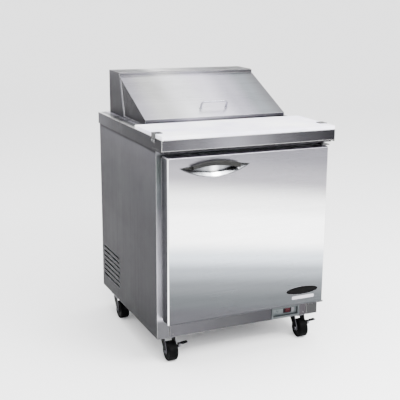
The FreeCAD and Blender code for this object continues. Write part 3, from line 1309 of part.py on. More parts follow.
BRACKET_GAP = 2.6
BRACKET_THICK = 3.0


def hinge_bracket(low):
    """Flat arm out over a door corner, with a foot screwed to the face frame."""
    x, depth = DOOR_PIVOT
    arm = block(x - 13, CABINET_HALF - 6, depth - 13, FRAME_FRONT - SHEET, low, low + BRACKET_THICK)
    return rounded(arm, 9, lambda e: runs_along(e, Z_AXIS) and e.CenterOfMass.y < at(depth))


def hinge_brackets():
    """Upper and lower pivot brackets for the door, folded to feet on the face frame."""
    top_low = DOOR_TOP + BRACKET_GAP
    bottom_low = DOOR_BOTTOM - BRACKET_GAP - BRACKET_THICK
    x, _ = DOOR_PIVOT
    face = FRAME_FRONT - SHEET
    foot_up = block(x - 13, CABINET_HALF - 6, face - BRACKET_THICK, face, top_low, top_low + 14)
    foot_down = block(x - 13, CABINET_HALF - 6, face - BRACKET_THICK, face, bottom_low - 26, bottom_low + 1)
    return [joined([hinge_bracket(top_low), foot_up]), joined([hinge_bracket(bottom_low), foot_down])]


def hinge_bushes():
    """Flanged nylon bushes pressed into the door's top and bottom edges."""
    x, depth = DOOR_PIVOT
    bushes = []
    for low, flange in ((DOOR_TOP - BUSH_DEEP, DOOR_TOP), (DOOR_BOTTOM, DOOR_BOTTOM - 1.8)):
        body = z_rod(x, depth, low, low + BUSH_DEEP, BUSH_R)
        collar = z_rod(x, depth, flange, flange + 1.8, BUSH_R + 2)
        bore = z_rod(x, depth, low - 5, low + BUSH_DEEP + 5, PIN_DOOR_R + 0.05)
        bushes.append(joined([body, collar]).cut(bore))
    return bushes


# ---- build --------------------------------------------------------------------------------
def main():
    os.makedirs("parts", exist_ok=True)
    left_panel = side_panel()
    save("left_side_panel", left_panel)
    save("right_side_panel", mirrored(left_panel))
    save("rear_panel", rear_panel())
    save("base_pan", base_pan())
    save("front_frame", *front_frame())
    save("kick_panel", kick_panel())
    save("control_bezel", control_bezel())
    save("controller", controller())
    save("set_key", set_key())
    save("arrow_key", arrow_key())
    save("insulation", *foam_blocks())
    save("inner_liner", inner_liner())
    save("breaker_strips", *breaker_strips())
    save("wire_shelf", wire_shelf())
    save("shelf_clips", *shelf_clips())
    save("evaporator_cover", evaporator_cover())
    save("evaporator_coil", evaporator_coil())
    save("evaporator_fan", evaporator_fan())
    save("fan_motors", evaporator_motor(), condenser_motor())
    save("condenser_coil", condenser_coil())
    save("condenser_fan", condenser_fan())
    save("compressor", compressor())
    save("drain_pan", drain_pan())
    save("refrigerant_lines", *refrigerant_lines())
    save("worktop", worktop())
    save("pan_rail", pan_rail())
    save("pan_bars", *pan_bars())
    save("food_pans", *food_pans())
    save("rear_hood_shell", rear_hood_shell())
    save("rear_hood_liner", rear_hood_liner())
    save("hinge_fixed_leaf", fixed_leaf())
    save("hinge_moving_leaf", moving_leaf())
    save("hinge_pins", *hinge_pins())
    save("lid_shell", lid_shell())
    save("lid_liner", lid_liner())
    save("lid_foam", *lid_foam())
    save("lid_handle", lid_handle())
    save("lid_seal", *lid_seal())
    save("cutting_board", cutting_board())
    save("board_clips", *board_clips())
    save("fasteners", *fasteners())
    save("door_skin", door_skin())
    save("door_foam", *door_foam())
    save("door_liner", door_liner())
    save("door_gasket", door_gasket())
    save("handle_dish", handle_dish())
    save("handle_grip", handle_grip())
    save("hinge_brackets", *hinge_brackets())
    save("hinge_bushes", *hinge_bushes())
    save("caster_plates", *[caster_plate(x, depth) for _, x, depth in caster_sites()])
    for name, x, depth in caster_sites():
        braked = name.startswith("front")
        save(name + "_fork", *caster_fork(x, depth, braked))
        save(name + "_wheel", caster_wheel(x, depth))
        if braked:
            save(name + "_pedal", brake_pedal(x, depth))


main()
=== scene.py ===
import bpy
import bmesh
import json
import math
from mathutils import Matrix, Vector


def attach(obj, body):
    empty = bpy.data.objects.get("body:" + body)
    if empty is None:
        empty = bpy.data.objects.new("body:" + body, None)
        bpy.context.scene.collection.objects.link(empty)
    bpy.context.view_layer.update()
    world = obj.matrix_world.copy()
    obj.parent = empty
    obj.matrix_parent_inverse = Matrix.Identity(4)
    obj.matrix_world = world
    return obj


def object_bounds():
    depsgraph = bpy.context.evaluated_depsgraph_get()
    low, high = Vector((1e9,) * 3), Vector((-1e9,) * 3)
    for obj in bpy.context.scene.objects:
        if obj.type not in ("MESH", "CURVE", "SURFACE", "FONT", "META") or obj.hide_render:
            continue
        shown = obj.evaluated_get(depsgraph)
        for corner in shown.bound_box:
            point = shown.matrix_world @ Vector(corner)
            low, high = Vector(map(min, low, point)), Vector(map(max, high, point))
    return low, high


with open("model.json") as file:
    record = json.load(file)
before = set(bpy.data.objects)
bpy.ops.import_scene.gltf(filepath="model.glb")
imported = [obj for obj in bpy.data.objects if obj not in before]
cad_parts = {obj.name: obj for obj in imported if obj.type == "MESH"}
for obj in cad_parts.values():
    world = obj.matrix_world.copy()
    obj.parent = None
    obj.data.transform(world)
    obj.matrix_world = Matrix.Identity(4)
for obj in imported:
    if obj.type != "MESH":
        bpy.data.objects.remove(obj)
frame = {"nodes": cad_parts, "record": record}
cad_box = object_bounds()
NODES = frame["nodes"]

# ---- the frame's own measures, in metres --------------------------------------------------
GRIP_PROUD = 0.017
FRONT_Y = cad_box[0][1] + GRIP_PROUD      # the worktop's front face


def at(depth):
    """Y of a point this many metres behind the worktop's front face."""
    return FRONT_Y + depth


# ---- camera, stage and light --------------------------------------------------------------
CAMERA_ANGLES = (25.70, 14.12, 0.82)      # yaw, pitch down and roll, in degrees
CAMERA_X = -1.3590
CAMERA_DEPTH = -2.6435
CAMERA_Z = 1.3663
SENSOR = 36                               # millimetres
LENS = 75.24


def make_camera():
    yaw, pitch, roll = (math.radians(a) for a in CAMERA_ANGLES)
    ahead = Vector((math.sin(yaw) * math.cos(pitch), math.cos(yaw) * math.cos(pitch), -math.sin(pitch)))
    side = Vector((math.cos(yaw), -math.sin(yaw), 0))
    up = side.cross(ahead)
    right = math.cos(roll) * side + math.sin(roll) * up
    top = -math.sin(roll) * side + math.cos(roll) * up
    data = bpy.data.cameras.new("camera")
    data.sensor_width = SENSOR
    data.lens = LENS
    data.shift_x = -0.075
    data.clip_end = 200
    camera = bpy.data.objects.new("camera", data)
    turn = Matrix((right, top, -ahead)).transposed().to_4x4()
    camera.matrix_world = Matrix.Translation((CAMERA_X, at(CAMERA_DEPTH), CAMERA_Z)) @ turn
    bpy.context.collection.objects.link(camera)
    bpy.context.scene.camera = camera


def make_stage():
    """Pale floor that curves up into a backdrop all round."""
    flat, curve, top, sides = 7, 3, 9, 64
    rings = [(0, 0), (flat, 0)]
    for i in range(1, 13):
        a = math.radians(i * 90 / 12)
        rings.append((flat + curve * math.sin(a), curve * (1 - math.cos(a))))
    rings.append((flat + curve, top))
    mesh = bmesh.new()
    rows = []
    turns = [2 * math.pi * k / sides for k in range(sides)]
    for radius, height in rings[1:]:
        rows.append([mesh.verts.new((radius * math.cos(a), radius * math.sin(a), height)) for a in turns])
    mesh.faces.new(rows[0])
    for low, high in zip(rows, rows[1:]):
        for k in range(sides):
            mesh.faces.new((low[k], low[(k + 1) % sides], high[(k + 1) % sides], high[k]))
    floor = to_object(mesh, "stage_floor")
    for face in floor.data.polygons:
        face.use_smooth = True
    stage = Shader("stage_paper")
    grain = stage.noise((40, 40, 40), 3)
    stage.set("Base Color", stage.blend(grain, (0.93, 0.93, 0.935, 1), (0.95, 0.95, 0.95, 1)))
    stage.set("Roughness", 0.7)
    stage.set("Specular IOR Level", 0.15)
    floor.data.materials.append(stage.material)


def area_light(name, place, target, size, power, colour=(1, 1, 1)):
    data = bpy.data.lights.new(name, "AREA")
    data.shape = "RECTANGLE"
    data.size, data.size_y = size
    data.energy = power
    data.color = colour
    light = bpy.data.objects.new(name, data)
    light.location = place
    light.rotation_euler = (Vector(target) - Vector(place)).to_track_quat("-Z", "Y").to_euler()
    bpy.context.collection.objects.link(light)


def make_light():
    world = bpy.data.worlds.new("studio")
    bpy.context.scene.world = world
    world.use_nodes = True
    background = world.node_tree.nodes["Background"]
    background.inputs["Color"].default_value = (1, 1, 1, 1)
    background.inputs["Strength"].default_value = 2.6
    area_light("key_softbox", (-0.9, -3.9, 3.3), (0, 0, 0.6), (2.6, 2.4), 210)
    area_light("fill_softbox", (3.4, -2.4, 2.2), (0, 0, 0.5), (2.0, 2.6), 90)
    area_light("top_softbox", (0.2, 0.4, 4.2), (0, 0, 0.5), (2.6, 2.6), 150)
    area_light("floor_softbox", (1.0, -2.3, 2.7), (1.0, -2.1, 0), (1.6, 1.2), 230)


# ---- mesh helpers -------------------------------------------------------------------------
def to_object(mesh, name):
    data = bpy.data.meshes.new(name)
    bmesh.ops.recalc_face_normals(mesh, faces=mesh.faces)
    mesh.to_mesh(data)
    mesh.free()
    piece = bpy.data.objects.new(name, data)
    bpy.context.collection.objects.link(piece)
    return piece


def front_place(u, v, depth):
    """Point of a plate that lies on a surface looking forward: X, height and depth."""
    return (u, at(depth), v)


def right_place(u, v, out):
    """Point of a plate on the right side: depth, height and distance from the middle plane."""
    return (out, at(u), v)


def plate(name, outline, near, far, bevel, place=front_place):
    """Flat piece: an outline run from its near face to its far face, with its near rim bevelled."""
    mesh = bmesh.new()
    front = [mesh.verts.new(place(u, v, near)) for u, v in outline]
    back = [mesh.verts.new(place(u, v, far)) for u, v in outline]
    face = mesh.faces.new(front)
    mesh.faces.new(list(reversed(back)))
    count = len(outline)
    for i in range(count):
        j = (i + 1) % count
        mesh.faces.new((front[i], back[i], back[j], front[j]))
    if bevel:
        bmesh.ops.bevel(mesh, geom=list(face.edges), offset=bevel, segments=3, profile=0.5, affect="EDGES")
    return to_object(mesh, name)


def oval(u, v, half_u, half_v, count=72, power=2.0):
    """Outline of an ellipse, or of a rounded rectangle at a higher power."""
    points = []
    for i in range(count):
        a = 2 * math.pi * i / count
        c, s = math.cos(a), math.sin(a)
        points.append((u + half_u * math.copysign(abs(c) ** (2 / power), c),
                       v + half_v * math.copysign(abs(s) ** (2 / power), s)))
    return points


def cross_radius(angle, length, width):
    """Distance from the centre of a cross-shaped recess to its rim."""
    c, s = abs(math.cos(angle)), abs(math.sin(angle))
    flat_arm = min(length / max(c, 1e-6), width / max(s, 1e-6))
    upright_arm = min(length / max(s, 1e-6), width / max(c, 1e-6))
    return max(flat_arm, upright_arm)


def screw_head(mesh, u, v, seat, radius, high, place=front_place, out=-1):
    """Domed head with a cross recess, standing out of a surface."""
    turns = [2 * math.pi * i / 48 for i in range(48)]
    round_rings = [(1.0, 0.0), (1.0, 0.35), (0.93, 0.62), (0.78, 0.85), (0.66, 0.94)]
    rings = [[(radius * r * math.cos(a), radius * r * math.sin(a), high * h) for a in turns]
             for r, h in round_rings]
    crosses = [cross_radius(a, 0.52 * radius, 0.13 * radius) for a in turns]
    for shrink, h in ((1.0, 0.96), (0.72, 0.35)):
        rings.append([(r * shrink * math.cos(a), r * shrink * math.sin(a), high * h)
                      for r, a in zip(crosses, turns)])
    rows = [[mesh.verts.new(place(u + x, v + y, seat + out * h)) for x, y, h in ring] for ring in rings]
    for low, top in zip(rows, rows[1:]):
        for i in range(48):
            j = (i + 1) % 48
            mesh.faces.new((low[i], low[j], top[j], top[i]))
    mesh.faces.new(rows[-1])
    mesh.faces.new(list(reversed(rows[0])))


def screws(name, spots, seat, radius, high, place=front_place, out=-1):
    mesh = bmesh.new()
    for u, v in spots:
        screw_head(mesh, u, v, seat, radius, high, place, out)
    return to_object(mesh, name)


def ring(name, u, v, profile, count=48):
    """Ring about a line that runs front to back. The profile is (radius, depth) points."""
    mesh = bmesh.new()
    rows = []
    for i in range(count):
        a = 2 * math.pi * i / count
        rows.append([mesh.verts.new(front_place(u + r * math.cos(a), v + r * math.sin(a), d))
                     for r, d in profile])
    size = len(profile)
    for i in range(count):
        here, there = rows[i], rows[(i + 1) % count]
        for k in range(size):
            mesh.faces.new((here[k], here[(k + 1) % size], there[(k + 1) % size], there[k]))
    return to_object(mesh, name)


def fitted(piece, body, look, made, smooth=False):
    """Join a piece to its body, and give it its material."""
    if smooth:
        for face in piece.data.polygons:
            face.use_smooth = True
    piece.data.materials.append(made[look])
    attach(piece, body)


# ---- shader helpers -----------------------------------------------------------------------
# how bright a white surface is under the studio light, by where it is and which way it looks
STAGE_LIGHT = 3.6
FRONT_LIGHT = 5.0
RAIL_LIGHT = 4.3
SIDE_LIGHT = 4.0
TOP_LIGHT = 4.0
SLOPE_LIGHT = 3.3
BAND_LIGHT = 3.6
LIP_LIGHT = 2.6
POST_LIGHT = 1.1
DECK_LIGHT = 0.8
BOARD_LIGHT = 5.5
RECESS_LIGHT = 1.5
PAN_LIGHT = 2.4


def tone(code, light=STAGE_LIGHT):
    """Base colour of a surface that shows as this six-digit code under this much light."""
    parts = [min(int(code[i:i + 2], 16) / 255, 0.97) for i in (1, 3, 5)]
    return tuple(min(0.219 * (c / (1 - c)) ** 1.24 / light, 0.95) for c in parts) + (1,)


class Shader:
    """A material with one Principled shader, and short ways to add nodes to it."""

    def __init__(self, name):
        self.material = bpy.data.materials.new(name)
        self.material.use_nodes = True
        self.tree = self.material.node_tree
        self.tree.nodes.clear()
        self.bsdf = self.node("ShaderNodeBsdfPrincipled")
        out = self.node("ShaderNodeOutputMaterial")
        self.tree.links.new(self.bsdf.outputs[0], out.inputs["Surface"])
        self.coords = self.node("ShaderNodeTexCoord")

    def node(self, kind, **settings):
        made = self.tree.nodes.new(kind)
        for key, value in settings.items():
            setattr(made, key, value)
        return made

    def put(self, socket, value):
        """Link a socket, or set its value."""
        if isinstance(value, bpy.types.NodeSocket):
            self.tree.links.new(value, socket)
        elif isinstance(value, str):
            socket.default_value = tone(value)
        else:
            socket.default_value = value

    def set(self, name, value):
        self.put(self.bsdf.inputs[name], value)

    def math(self, operation, a, b=0.0, clamp=False):
        made = self.node("ShaderNodeMath", operation=operation, use_clamp=clamp)
        self.put(made.inputs[0], a)
        self.put(made.inputs[1], b)
        return made.outputs[0]

    def span(self, value, low, high, out_low=0.0, out_high=1.0):
        """Value remapped from one range to another, and clamped."""
        made = self.node("ShaderNodeMapRange")
        for socket, v in zip(made.inputs, (value, low, high, out_low, out_high)):
            self.put(socket, v)
        return made.outputs[0]

    def scaled(self, scale, turn=(0, 0, 0)):
        made = self.node("ShaderNodeMapping")
        self.put(made.inputs["Vector"], self.coords.outputs["Object"])
        made.inputs["Scale"].default_value = scale
        made.inputs["Rotation"].default_value = turn
        return made.outputs[0]

    def noise(self, scale, detail, turn=(0, 0, 0), roughness=0.5):
        made = self.node("ShaderNodeTexNoise")
        self.put(made.inputs["Vector"], self.scaled(scale, turn))
        self.put(made.inputs["Scale"], 1.0)
        self.put(made.inputs["Detail"], float(detail))
        self.put(made.inputs["Roughness"], roughness)
        return made.outputs["Fac"]

    def blend(self, fac, a, b, kind="MIX"):
        made = self.node("ShaderNodeMix", data_type="RGBA", blend_type=kind)
        self.put(made.inputs[0], fac)
        self.put(made.inputs[6], a)
        self.put(made.inputs[7], b)
        return made.outputs[2]

    def place(self, axis):
        """Position along an axis, in metres."""
        split = self.node("ShaderNodeSeparateXYZ")
        self.put(split.inputs[0], self.coords.outputs["Object"])
        return split.outputs[axis]

    def along(self, axis, light, stops, lean):
        """Colour that follows stops of (position in metres, colour code) along an axis.

        With a lean, the position also grows by that much for each metre of X.
        """
        low, high = stops[0][0], stops[-1][0]
        ramp = self.node("ShaderNodeValToRGB")
        place = self.place(axis)
        if lean:
            place = self.math("ADD", place, self.math("MULTIPLY", self.place(0), lean))
        self.put(ramp.inputs[0], self.span(place, low, high))
        ramp.color_ramp.interpolation = "EASE"
        points = ramp.color_ramp.elements
        while len(points) < len(stops):
            points.new(0.5)
        for point, (where, code) in zip(points, stops):
            point.position = (where - low) / (high - low)
            point.color = tone(code, light)
        return ramp.outputs[0]

    def facing(self, axis, low=0.35, high=0.75):
        """1 where the surface faces along an axis, either way, and 0 elsewhere."""
        split = self.node("ShaderNodeSeparateXYZ")
        self.put(split.inputs[0], self.coords.outputs["Normal"])
        return self.span(self.math("ABSOLUTE", split.outputs[axis]), low, high)

    def soft_edge(self, radius):
        made = self.node("ShaderNodeBevel", samples=4)
        made.inputs["Radius"].default_value = radius
        return made.outputs[0]

    def edge(self, radius, low=0.015, high=0.25):
        """1 along sharp edges and 0 on flat faces."""
        dot = self.node("ShaderNodeVectorMath", operation="DOT_PRODUCT")
        geometry = self.node("ShaderNodeNewGeometry")
        self.put(dot.inputs[0], self.soft_edge(radius))
        self.put(dot.inputs[1], geometry.outputs["Normal"])
        return self.span(self.math("SUBTRACT", 1.0, dot.outputs["Value"]), low, high)

    def bump(self, height, distance, strength=1.0, radius=0.0012):
        made = self.node("ShaderNodeBump")
        made.inputs["Distance"].default_value = distance
        made.inputs["Strength"].default_value = strength
        self.put(made.inputs["Height"], height)
        self.put(made.inputs["Normal"], self.soft_edge(radius))
        self.set("Normal", made.outputs[0])


GRAIN = {"x": ((1.2, 500, 500), (2.0, 90, 90)), "y": ((500, 1.2, 500), (90, 2.0, 90)),
         "z": ((500, 500, 1.2), (90, 90, 2.0))}


def steel(name, colour, grain="x", rough=0.30, streak=0.03, edge_highlight=("#e9e9ec", 0.0022, 0.35, 0.0)):
    """Brushed stainless steel. colour(shader) gives its base colour.

    The last argument gives the colour of the highlight painted along its edges, its width, its amount and the
    height above which it is painted.
    """
    shader = Shader(name)
    fine_scale, coarse_scale = GRAIN[grain]
    fine = shader.noise(fine_scale, 4)
    coarse = shader.noise(coarse_scale, 3)
    smudge = shader.noise((5, 5, 5), 4, roughness=0.6)
    base = colour(shader)
    shade = shader.math("ADD", shader.span(coarse, 0.3, 0.7, 1 - streak, 1 + streak),
                        shader.span(fine, 0.3, 0.7, -streak / 2, streak / 2))
    shade = shader.math("ADD", shade, shader.span(smudge, 0.3, 0.7, -0.02, 0.02))
    grey = shader.node("ShaderNodeCombineColor")
    for socket in grey.inputs:
        shader.put(socket, shade)
    base = shader.blend(1.0, base, grey.outputs[0], "MULTIPLY")
    # painted highlight along the edges, only above the given height
    highlight_colour, highlight_width, highlight_amount, highlight_low = edge_highlight
    wear_and_highlight = shader.span(shader.place(2), highlight_low, highlight_low + 0.004, 0.0, highlight_amount)
    edge = shader.math("MULTIPLY", shader.edge(highlight_width), wear_and_highlight)
    shader.set("Base Color", shader.blend(edge, base, highlight_colour))
    shader.set("Metallic", 1.0)
    shader.set("Specular Tint", (0.55, 0.55, 0.55, 1))
    roughness = shader.math("ADD", shader.span(fine, 0.25, 0.75, rough - 0.05, rough + 0.05),
                            shader.span(smudge, 0.35, 0.7, -0.03, 0.05))
    shader.set("Roughness", roughness)
    shader.bump(fine, 0.00006, 0.5)
    return shader.material


def plain(code, light=STAGE_LIGHT):
    return lambda shader: tone(code, light)


def ramped(axis, light, *stops, lean=0.0):
    return lambda shader: shader.along(axis, light, list(stops), lean)


def faced(front, *others):
    """Base colour chosen by which way a face looks, painting lit and shaded faces in different colours:
    others are (axis, low, high, colour).
    """
    def colour(shader):
        base = front(shader)
        for axis, low, high, other in others:
            base = shader.blend(shader.facing(axis, low, high), base, other(shader))
        return base
    return colour


def across(axis, low, high, first, second, mirrored=False):
    """Base colour that changes from first to second across a plane, or across a pair of them."""
    def colour(shader):
        place = shader.place(axis)
        if mirrored:
            place = shader.math("ABSOLUTE", place)
        return shader.blend(shader.span(place, low, high), first(shader), second(shader))
    return colour


def plastic(name, dark, light, rough=0.45, grain=700, bump=0.00008, gloss=0.5):
    """Moulded plastic or rubber with a fine texture, slight colour drift and edges blended towards its
    lighter colour.
    """
    shader = Shader(name)
    fine = shader.noise((grain, grain, grain), 3)
    drift = shader.noise((12, 12, 12), 4)
    base = shader.blend(shader.span(drift, 0.3, 0.7), dark, light)
    shader.set("Base Color", shader.blend(shader.math("MULTIPLY", shader.edge(0.0015), 0.35), base, light))
    shader.set("Roughness", shader.span(fine, 0.3, 0.7, rough - 0.07, rough + 0.07))
    shader.set("Specular IOR Level", gloss)
    shader.bump(fine, bump, 0.6, 0.0008)
    return shader.material


CLOUD_SHADE = 0.84


def metal(name, code, rough, spread=0.08, scale=120, bump=0.00004):
    """Plain plated or mill-finish metal."""
    shader = Shader(name)
    fine = shader.noise((scale, scale, scale), 4)
    cloud = shader.noise((15, 15, 15), 3)
    dark = shader.blend(1.0, code, (CLOUD_SHADE, CLOUD_SHADE, CLOUD_SHADE, 1), "MULTIPLY")
    base = shader.blend(shader.span(cloud, 0.3, 0.7), dark, code)
    # painted highlight: the edges are blended 40 per cent towards near-white
    shader.set("Base Color", shader.blend(shader.math("MULTIPLY", shader.edge(0.0012), 0.4), base, "#f2f2f4"))
    shader.set("Metallic", 1.0)
    shader.set("Roughness", shader.span(fine, 0.3, 0.7, max(rough - spread, 0.05), rough + spread))
    shader.bump(fine, bump, 0.4, 0.0008)
    return shader.material


def coated(name, dark, light, rough=0.35):
    """Paint or epoxy over metal, with fine orange peel."""
    shader = Shader(name)
    peel = shader.noise((260, 260, 260), 2)
    drift = shader.noise((9, 9, 9), 4)
    base = shader.blend(shader.span(drift, 0.3, 0.7), dark, light)
    wear_and_highlight = shader.math("MULTIPLY", shader.edge(0.0015), shader.noise((80, 80, 80), 4))
    shader.set("Base Color", shader.blend(shader.math("MULTIPLY", wear_and_highlight, 0.4), base, "#8c8c90"))
    shader.set("Roughness", shader.span(peel, 0.3, 0.7, rough - 0.05, rough + 0.08))
    shader.set("Coat Weight", 0.25)
    shader.set("Coat Roughness", 0.2)
    shader.bump(peel, 0.0001, 0.5, 0.001)
    return shader.material


def fork_material():
    """Black paint, with a highlight painted in light grey on the surfaces that face the front or the back."""
    shader = Shader("fork_black")
    peel = shader.noise((260, 260, 260), 2)
    drift = shader.noise((9, 9, 9), 4)
    base = shader.blend(shader.span(drift, 0.3, 0.7), "#050507", "#0e0e10")
    front_back_highlight = shader.blend(shader.span(peel, 0.3, 0.7), "#85858a", "#9d9da2")
    shader.set("Base Color", shader.blend(shader.facing(1, 0.6, 0.85), base, front_back_highlight))
    shader.set("Roughness", shader.span(peel, 0.3, 0.7, 0.4, 0.55))
    shader.set("Specular IOR Level", 0.02)
    shader.bump(peel, 0.0001, 0.5, 0.001)
    return shader.material


def board_material():
    """White cutting plastic with faint knife marks."""
    shader = Shader("board_white")
    fine = shader.noise((900, 900, 900), 3)
    marks = shader.math("MAXIMUM", shader.noise((6, 700, 50), 2, (0, 0, 0.5)),
                        shader.noise((6, 800, 50), 2, (0, 0, -0.9)))
    cut = shader.span(marks, 0.66, 0.74)
    drift = shader.noise((6, 6, 6), 3)
    base = shader.blend(shader.span(drift, 0.3, 0.7), tone("#e6e5ea", BOARD_LIGHT),
                        tone("#f1f0f5", BOARD_LIGHT))
    wear_and_highlight = tone("#d3d2d9", BOARD_LIGHT)
    shader.set("Base Color", shader.blend(shader.math("MULTIPLY", cut, 0.4), base, wear_and_highlight))
    shader.set("Roughness", shader.span(fine, 0.3, 0.7, 0.38, 0.52))
    shader.set("Subsurface Weight", 0.05)
    shader.set("Subsurface Scale", 0.01)
    height = shader.math("SUBTRACT", fine, shader.math("MULTIPLY", cut, 2.0))
    shader.bump(height, 0.00008, 0.6, 0.0012)
    return shader.material


def foam_material():
    shader = Shader("insulation_foam")
    cells = shader.noise((350, 350, 350), 4)
    drift = shader.noise((20, 20, 20), 3)
    shader.set("Base Color", shader.blend(shader.span(drift, 0.3, 0.7), "#c6c6c4", "#d2d2cf"))
    shader.set("Roughness", 0.9)
    shader.bump(cells, 0.0004, 0.8, 0.001)
    return shader.material


def fin_material():
    """Aluminium fins with dust on them."""
    shader = Shader("coil_fin_metal")
    dust = shader.noise((30, 30, 30), 5)
    fine = shader.noise((400, 400, 400), 3)
    shader.set("Base Color", shader.blend(shader.span(dust, 0.45, 0.75), "#c9cdd1", "#8f8d88"))
    shader.set("Metallic", 1.0)
    shader.set("Roughness", shader.span(dust, 0.4, 0.7, 0.3, 0.6))
    shader.bump(fine, 0.00005, 0.4)
    return shader.material


def digit_material():
    """Dim red segments behind a smoked window."""
    shader = Shader("display_light")
    glow = shader.noise((900, 900, 900), 2)
    shader.set("Base Color", (0.12, 0.01, 0.015, 1))
    shader.set("Emission Color", shader.blend(glow, (0.42, 0.02, 0.09, 1), (0.55, 0.04, 0.12, 1)))
    shader.set("Emission Strength", 0.10)
    shader.set("Roughness", 0.3)
    shader.set("Specular IOR Level", 0.2)
    return shader.material


# ---- colours of the steel sheets, with light, shade and reflections painted in ------------
# painted reflection: the door front darkens towards the bottom, is white from 0.47 to 0.54 m and greyer
# towards the top; the bands lean 0.127 m for each metre of X
DOOR_PAINTED_REFLECTION = ramped(2, FRONT_LIGHT, (0.175, "#85858a"), (0.230, "#8d9194"), (0.285, "#a2a5a8"),
                    (0.345, "#bfc2c5"), (0.400, "#dbdddf"), (0.470, "#f6f6f6"), (0.540, "#f6f6f6"),
                    (0.600, "#e7e7e7"), (0.700, "#c6c5c8"), (0.798, "#b5b4b9"), lean=0.127)
# painted shade: the door's sides are dark grey, darkest at the bottom
DOOR_SIDE_PAINTED_SHADE = ramped(2, SIDE_LIGHT, (0.175, "#55545a"), (0.400, "#6a696e"), (0.798, "#85848a"))
# painted shade: the side panels darken towards the floor and lighten towards the top, with a painted shadow
# band from 0.801 to 0.821 m under the worktop's overhang
PANEL_PAINTED_SHADE = ramped(2, SIDE_LIGHT, (0.100, "#5c5c60"), (0.300, "#69686d"), (0.500, "#6f6e73"),
                     (0.640, "#79797e"), (0.740, "#8a898e"), (0.801, "#95949a"), (0.810, "#3c3b40"),
                     (0.821, "#3c3b40"))
# painted light and shade on the posts: dark below the door's bottom (under 0.165 m), lighter up beside the
# door, the right post darker than the left
LEFT_POST_PAINTED_SHADING = ramped(2, POST_LIGHT, (0.100, "#4c4c4f"), (0.165, "#4c4c4f"), (0.185, "#a09fa4"),
                         (0.360, "#b5b4b9"), (0.500, "#a6a5aa"), (0.640, "#808487"), (0.760, "#69706f"),
                         (0.821, "#69686d"))
RIGHT_POST_PAINTED_SHADING = ramped(2, POST_LIGHT, (0.100, "#303031"), (0.165, "#303031"), (0.185, "#808084"),
                          (0.360, "#9c9ba0"), (0.640, "#808487"), (0.821, "#69686d"))
POST_PAINTED_SHADING = across(0, -0.01, 0.01, LEFT_POST_PAINTED_SHADING, RIGHT_POST_PAINTED_SHADING)
# painted reflection on the worktop's front: lightest left of the middle, darkening towards the right end
RAIL_PAINTED_SHADING = ramped(0, RAIL_LIGHT, (-0.349, "#757479"), (-0.22, "#949398"), (-0.075, "#b2b1b6"),
                    (0.04, "#9c9ba0"), (0.12, "#818085"), (0.24, "#626166"), (0.349, "#48474c"))
# painted shade: the worktop's side faces are darker at the front and lighter towards the back
TOP_SIDE_PAINTED_SHADING = ramped(1, SIDE_LIGHT, (at(0), "#5c5b60"), (at(0.25), "#69686d"), (at(0.5), "#7c7b80"),
                        (at(0.74), "#9a999e"))
# painted light and shade on the deck beside the hood: a highlight along its outer edge, a lighter band, and
# painted shadow at the hood's foot
DECK_PAINTED_SHADING = ramped(0, DECK_LIGHT, (-0.349, "#f2f2f4"), (-0.340, "#dededf"), (-0.334, "#8e8e92"),
                    (-0.320, "#8c8c8f"), (-0.312, "#b4b3b8"), (-0.303, "#b4b3b8"), (-0.299, "#6c6b70"))
# painted reflection: the lid's slope is lightest near the middle and greyer towards both ends
SLOPE_PAINTED_REFLECTION = ramped(0, SLOPE_LIGHT, (-0.298, "#bab9be"), (-0.20, "#cacaca"), (-0.07, "#dbdbdc"),
                     (0.03, "#d9d8db"), (0.13, "#cbcacf"), (0.22, "#b6b9bc"), (0.298, "#a6a6a9"))
# painted shading: the lid's lower upright face is lightest left of the middle and darkens towards the right
LIP_PAINTED_SHADING = ramped(0, LIP_LIGHT, (-0.298, "#747378"), (-0.2, "#919095"), (-0.1, "#b6b5ba"),
                   (0.0, "#a6a5aa"), (0.1, "#8a898e"), (0.2, "#6d6c71"), (0.298, "#4a494e"))
# painted shading: the lid's upper upright band is lightest left of the middle and darkens towards the right
BAND_PAINTED_SHADING = ramped(0, BAND_LIGHT, (-0.298, "#8f8e93"), (-0.2, "#abaaaf"), (-0.1, "#c9c9c9"),
                    (0.0, "#bdbcc1"), (0.1, "#a8a7ac"), (0.2, "#87868b"), (0.298, "#68676c"))
# painted shade: the hood's side faces are dark, lightening upwards
HOOD_SIDE_PAINTED_SHADE = ramped(2, SIDE_LIGHT, (0.862, "#636267"), (0.94, "#6d6c71"), (1.0, "#818085"),
                         (1.036, "#919094"))
# painted highlight across the hood's top just left of the middle, darkening towards the right
HOOD_TOP_PAINTED_SHADING = ramped(0, TOP_LIGHT, (-0.298, "#9b9a9f"), (-0.20, "#bababc"), (-0.12, "#e6e6e6"),
                        (-0.04, "#dddddd"), (0.08, "#bfbec3"), (0.2, "#8a898e"), (0.298, "#7c7b80"))
# painted shading: the kick panel is lighter on the left and darker towards the right
KICK_PAINTED_SHADING = ramped(0, RAIL_LIGHT, (-0.293, "#88878c"), (-0.19, "#828186"), (-0.05, "#757578"),
                    (0.12, "#656469"), (0.20, "#656368"), (0.293, "#706c71"))
# painted highlight: the handle dish is near-white at X -0.14 m and greyer towards its tips
DISH_PAINTED_HIGHLIGHT = ramped(0, FRONT_LIGHT, (-0.281, "#8b8c8f"), (-0.20, "#9fa0a3"), (-0.165, "#c9cacc"),
                    (-0.14, "#efeff1"), (-0.115, "#c9cacc"), (-0.08, "#9fa0a3"), (-0.01, "#86878a"))
# painted shade: a dark line along the worktop front's lower edge, below 0.8215 m
RAIL_FRONT_PAINTED_SHADING = across(2, 0.8205, 0.8225, plain("#4c4b50", RAIL_LIGHT), RAIL_PAINTED_SHADING)
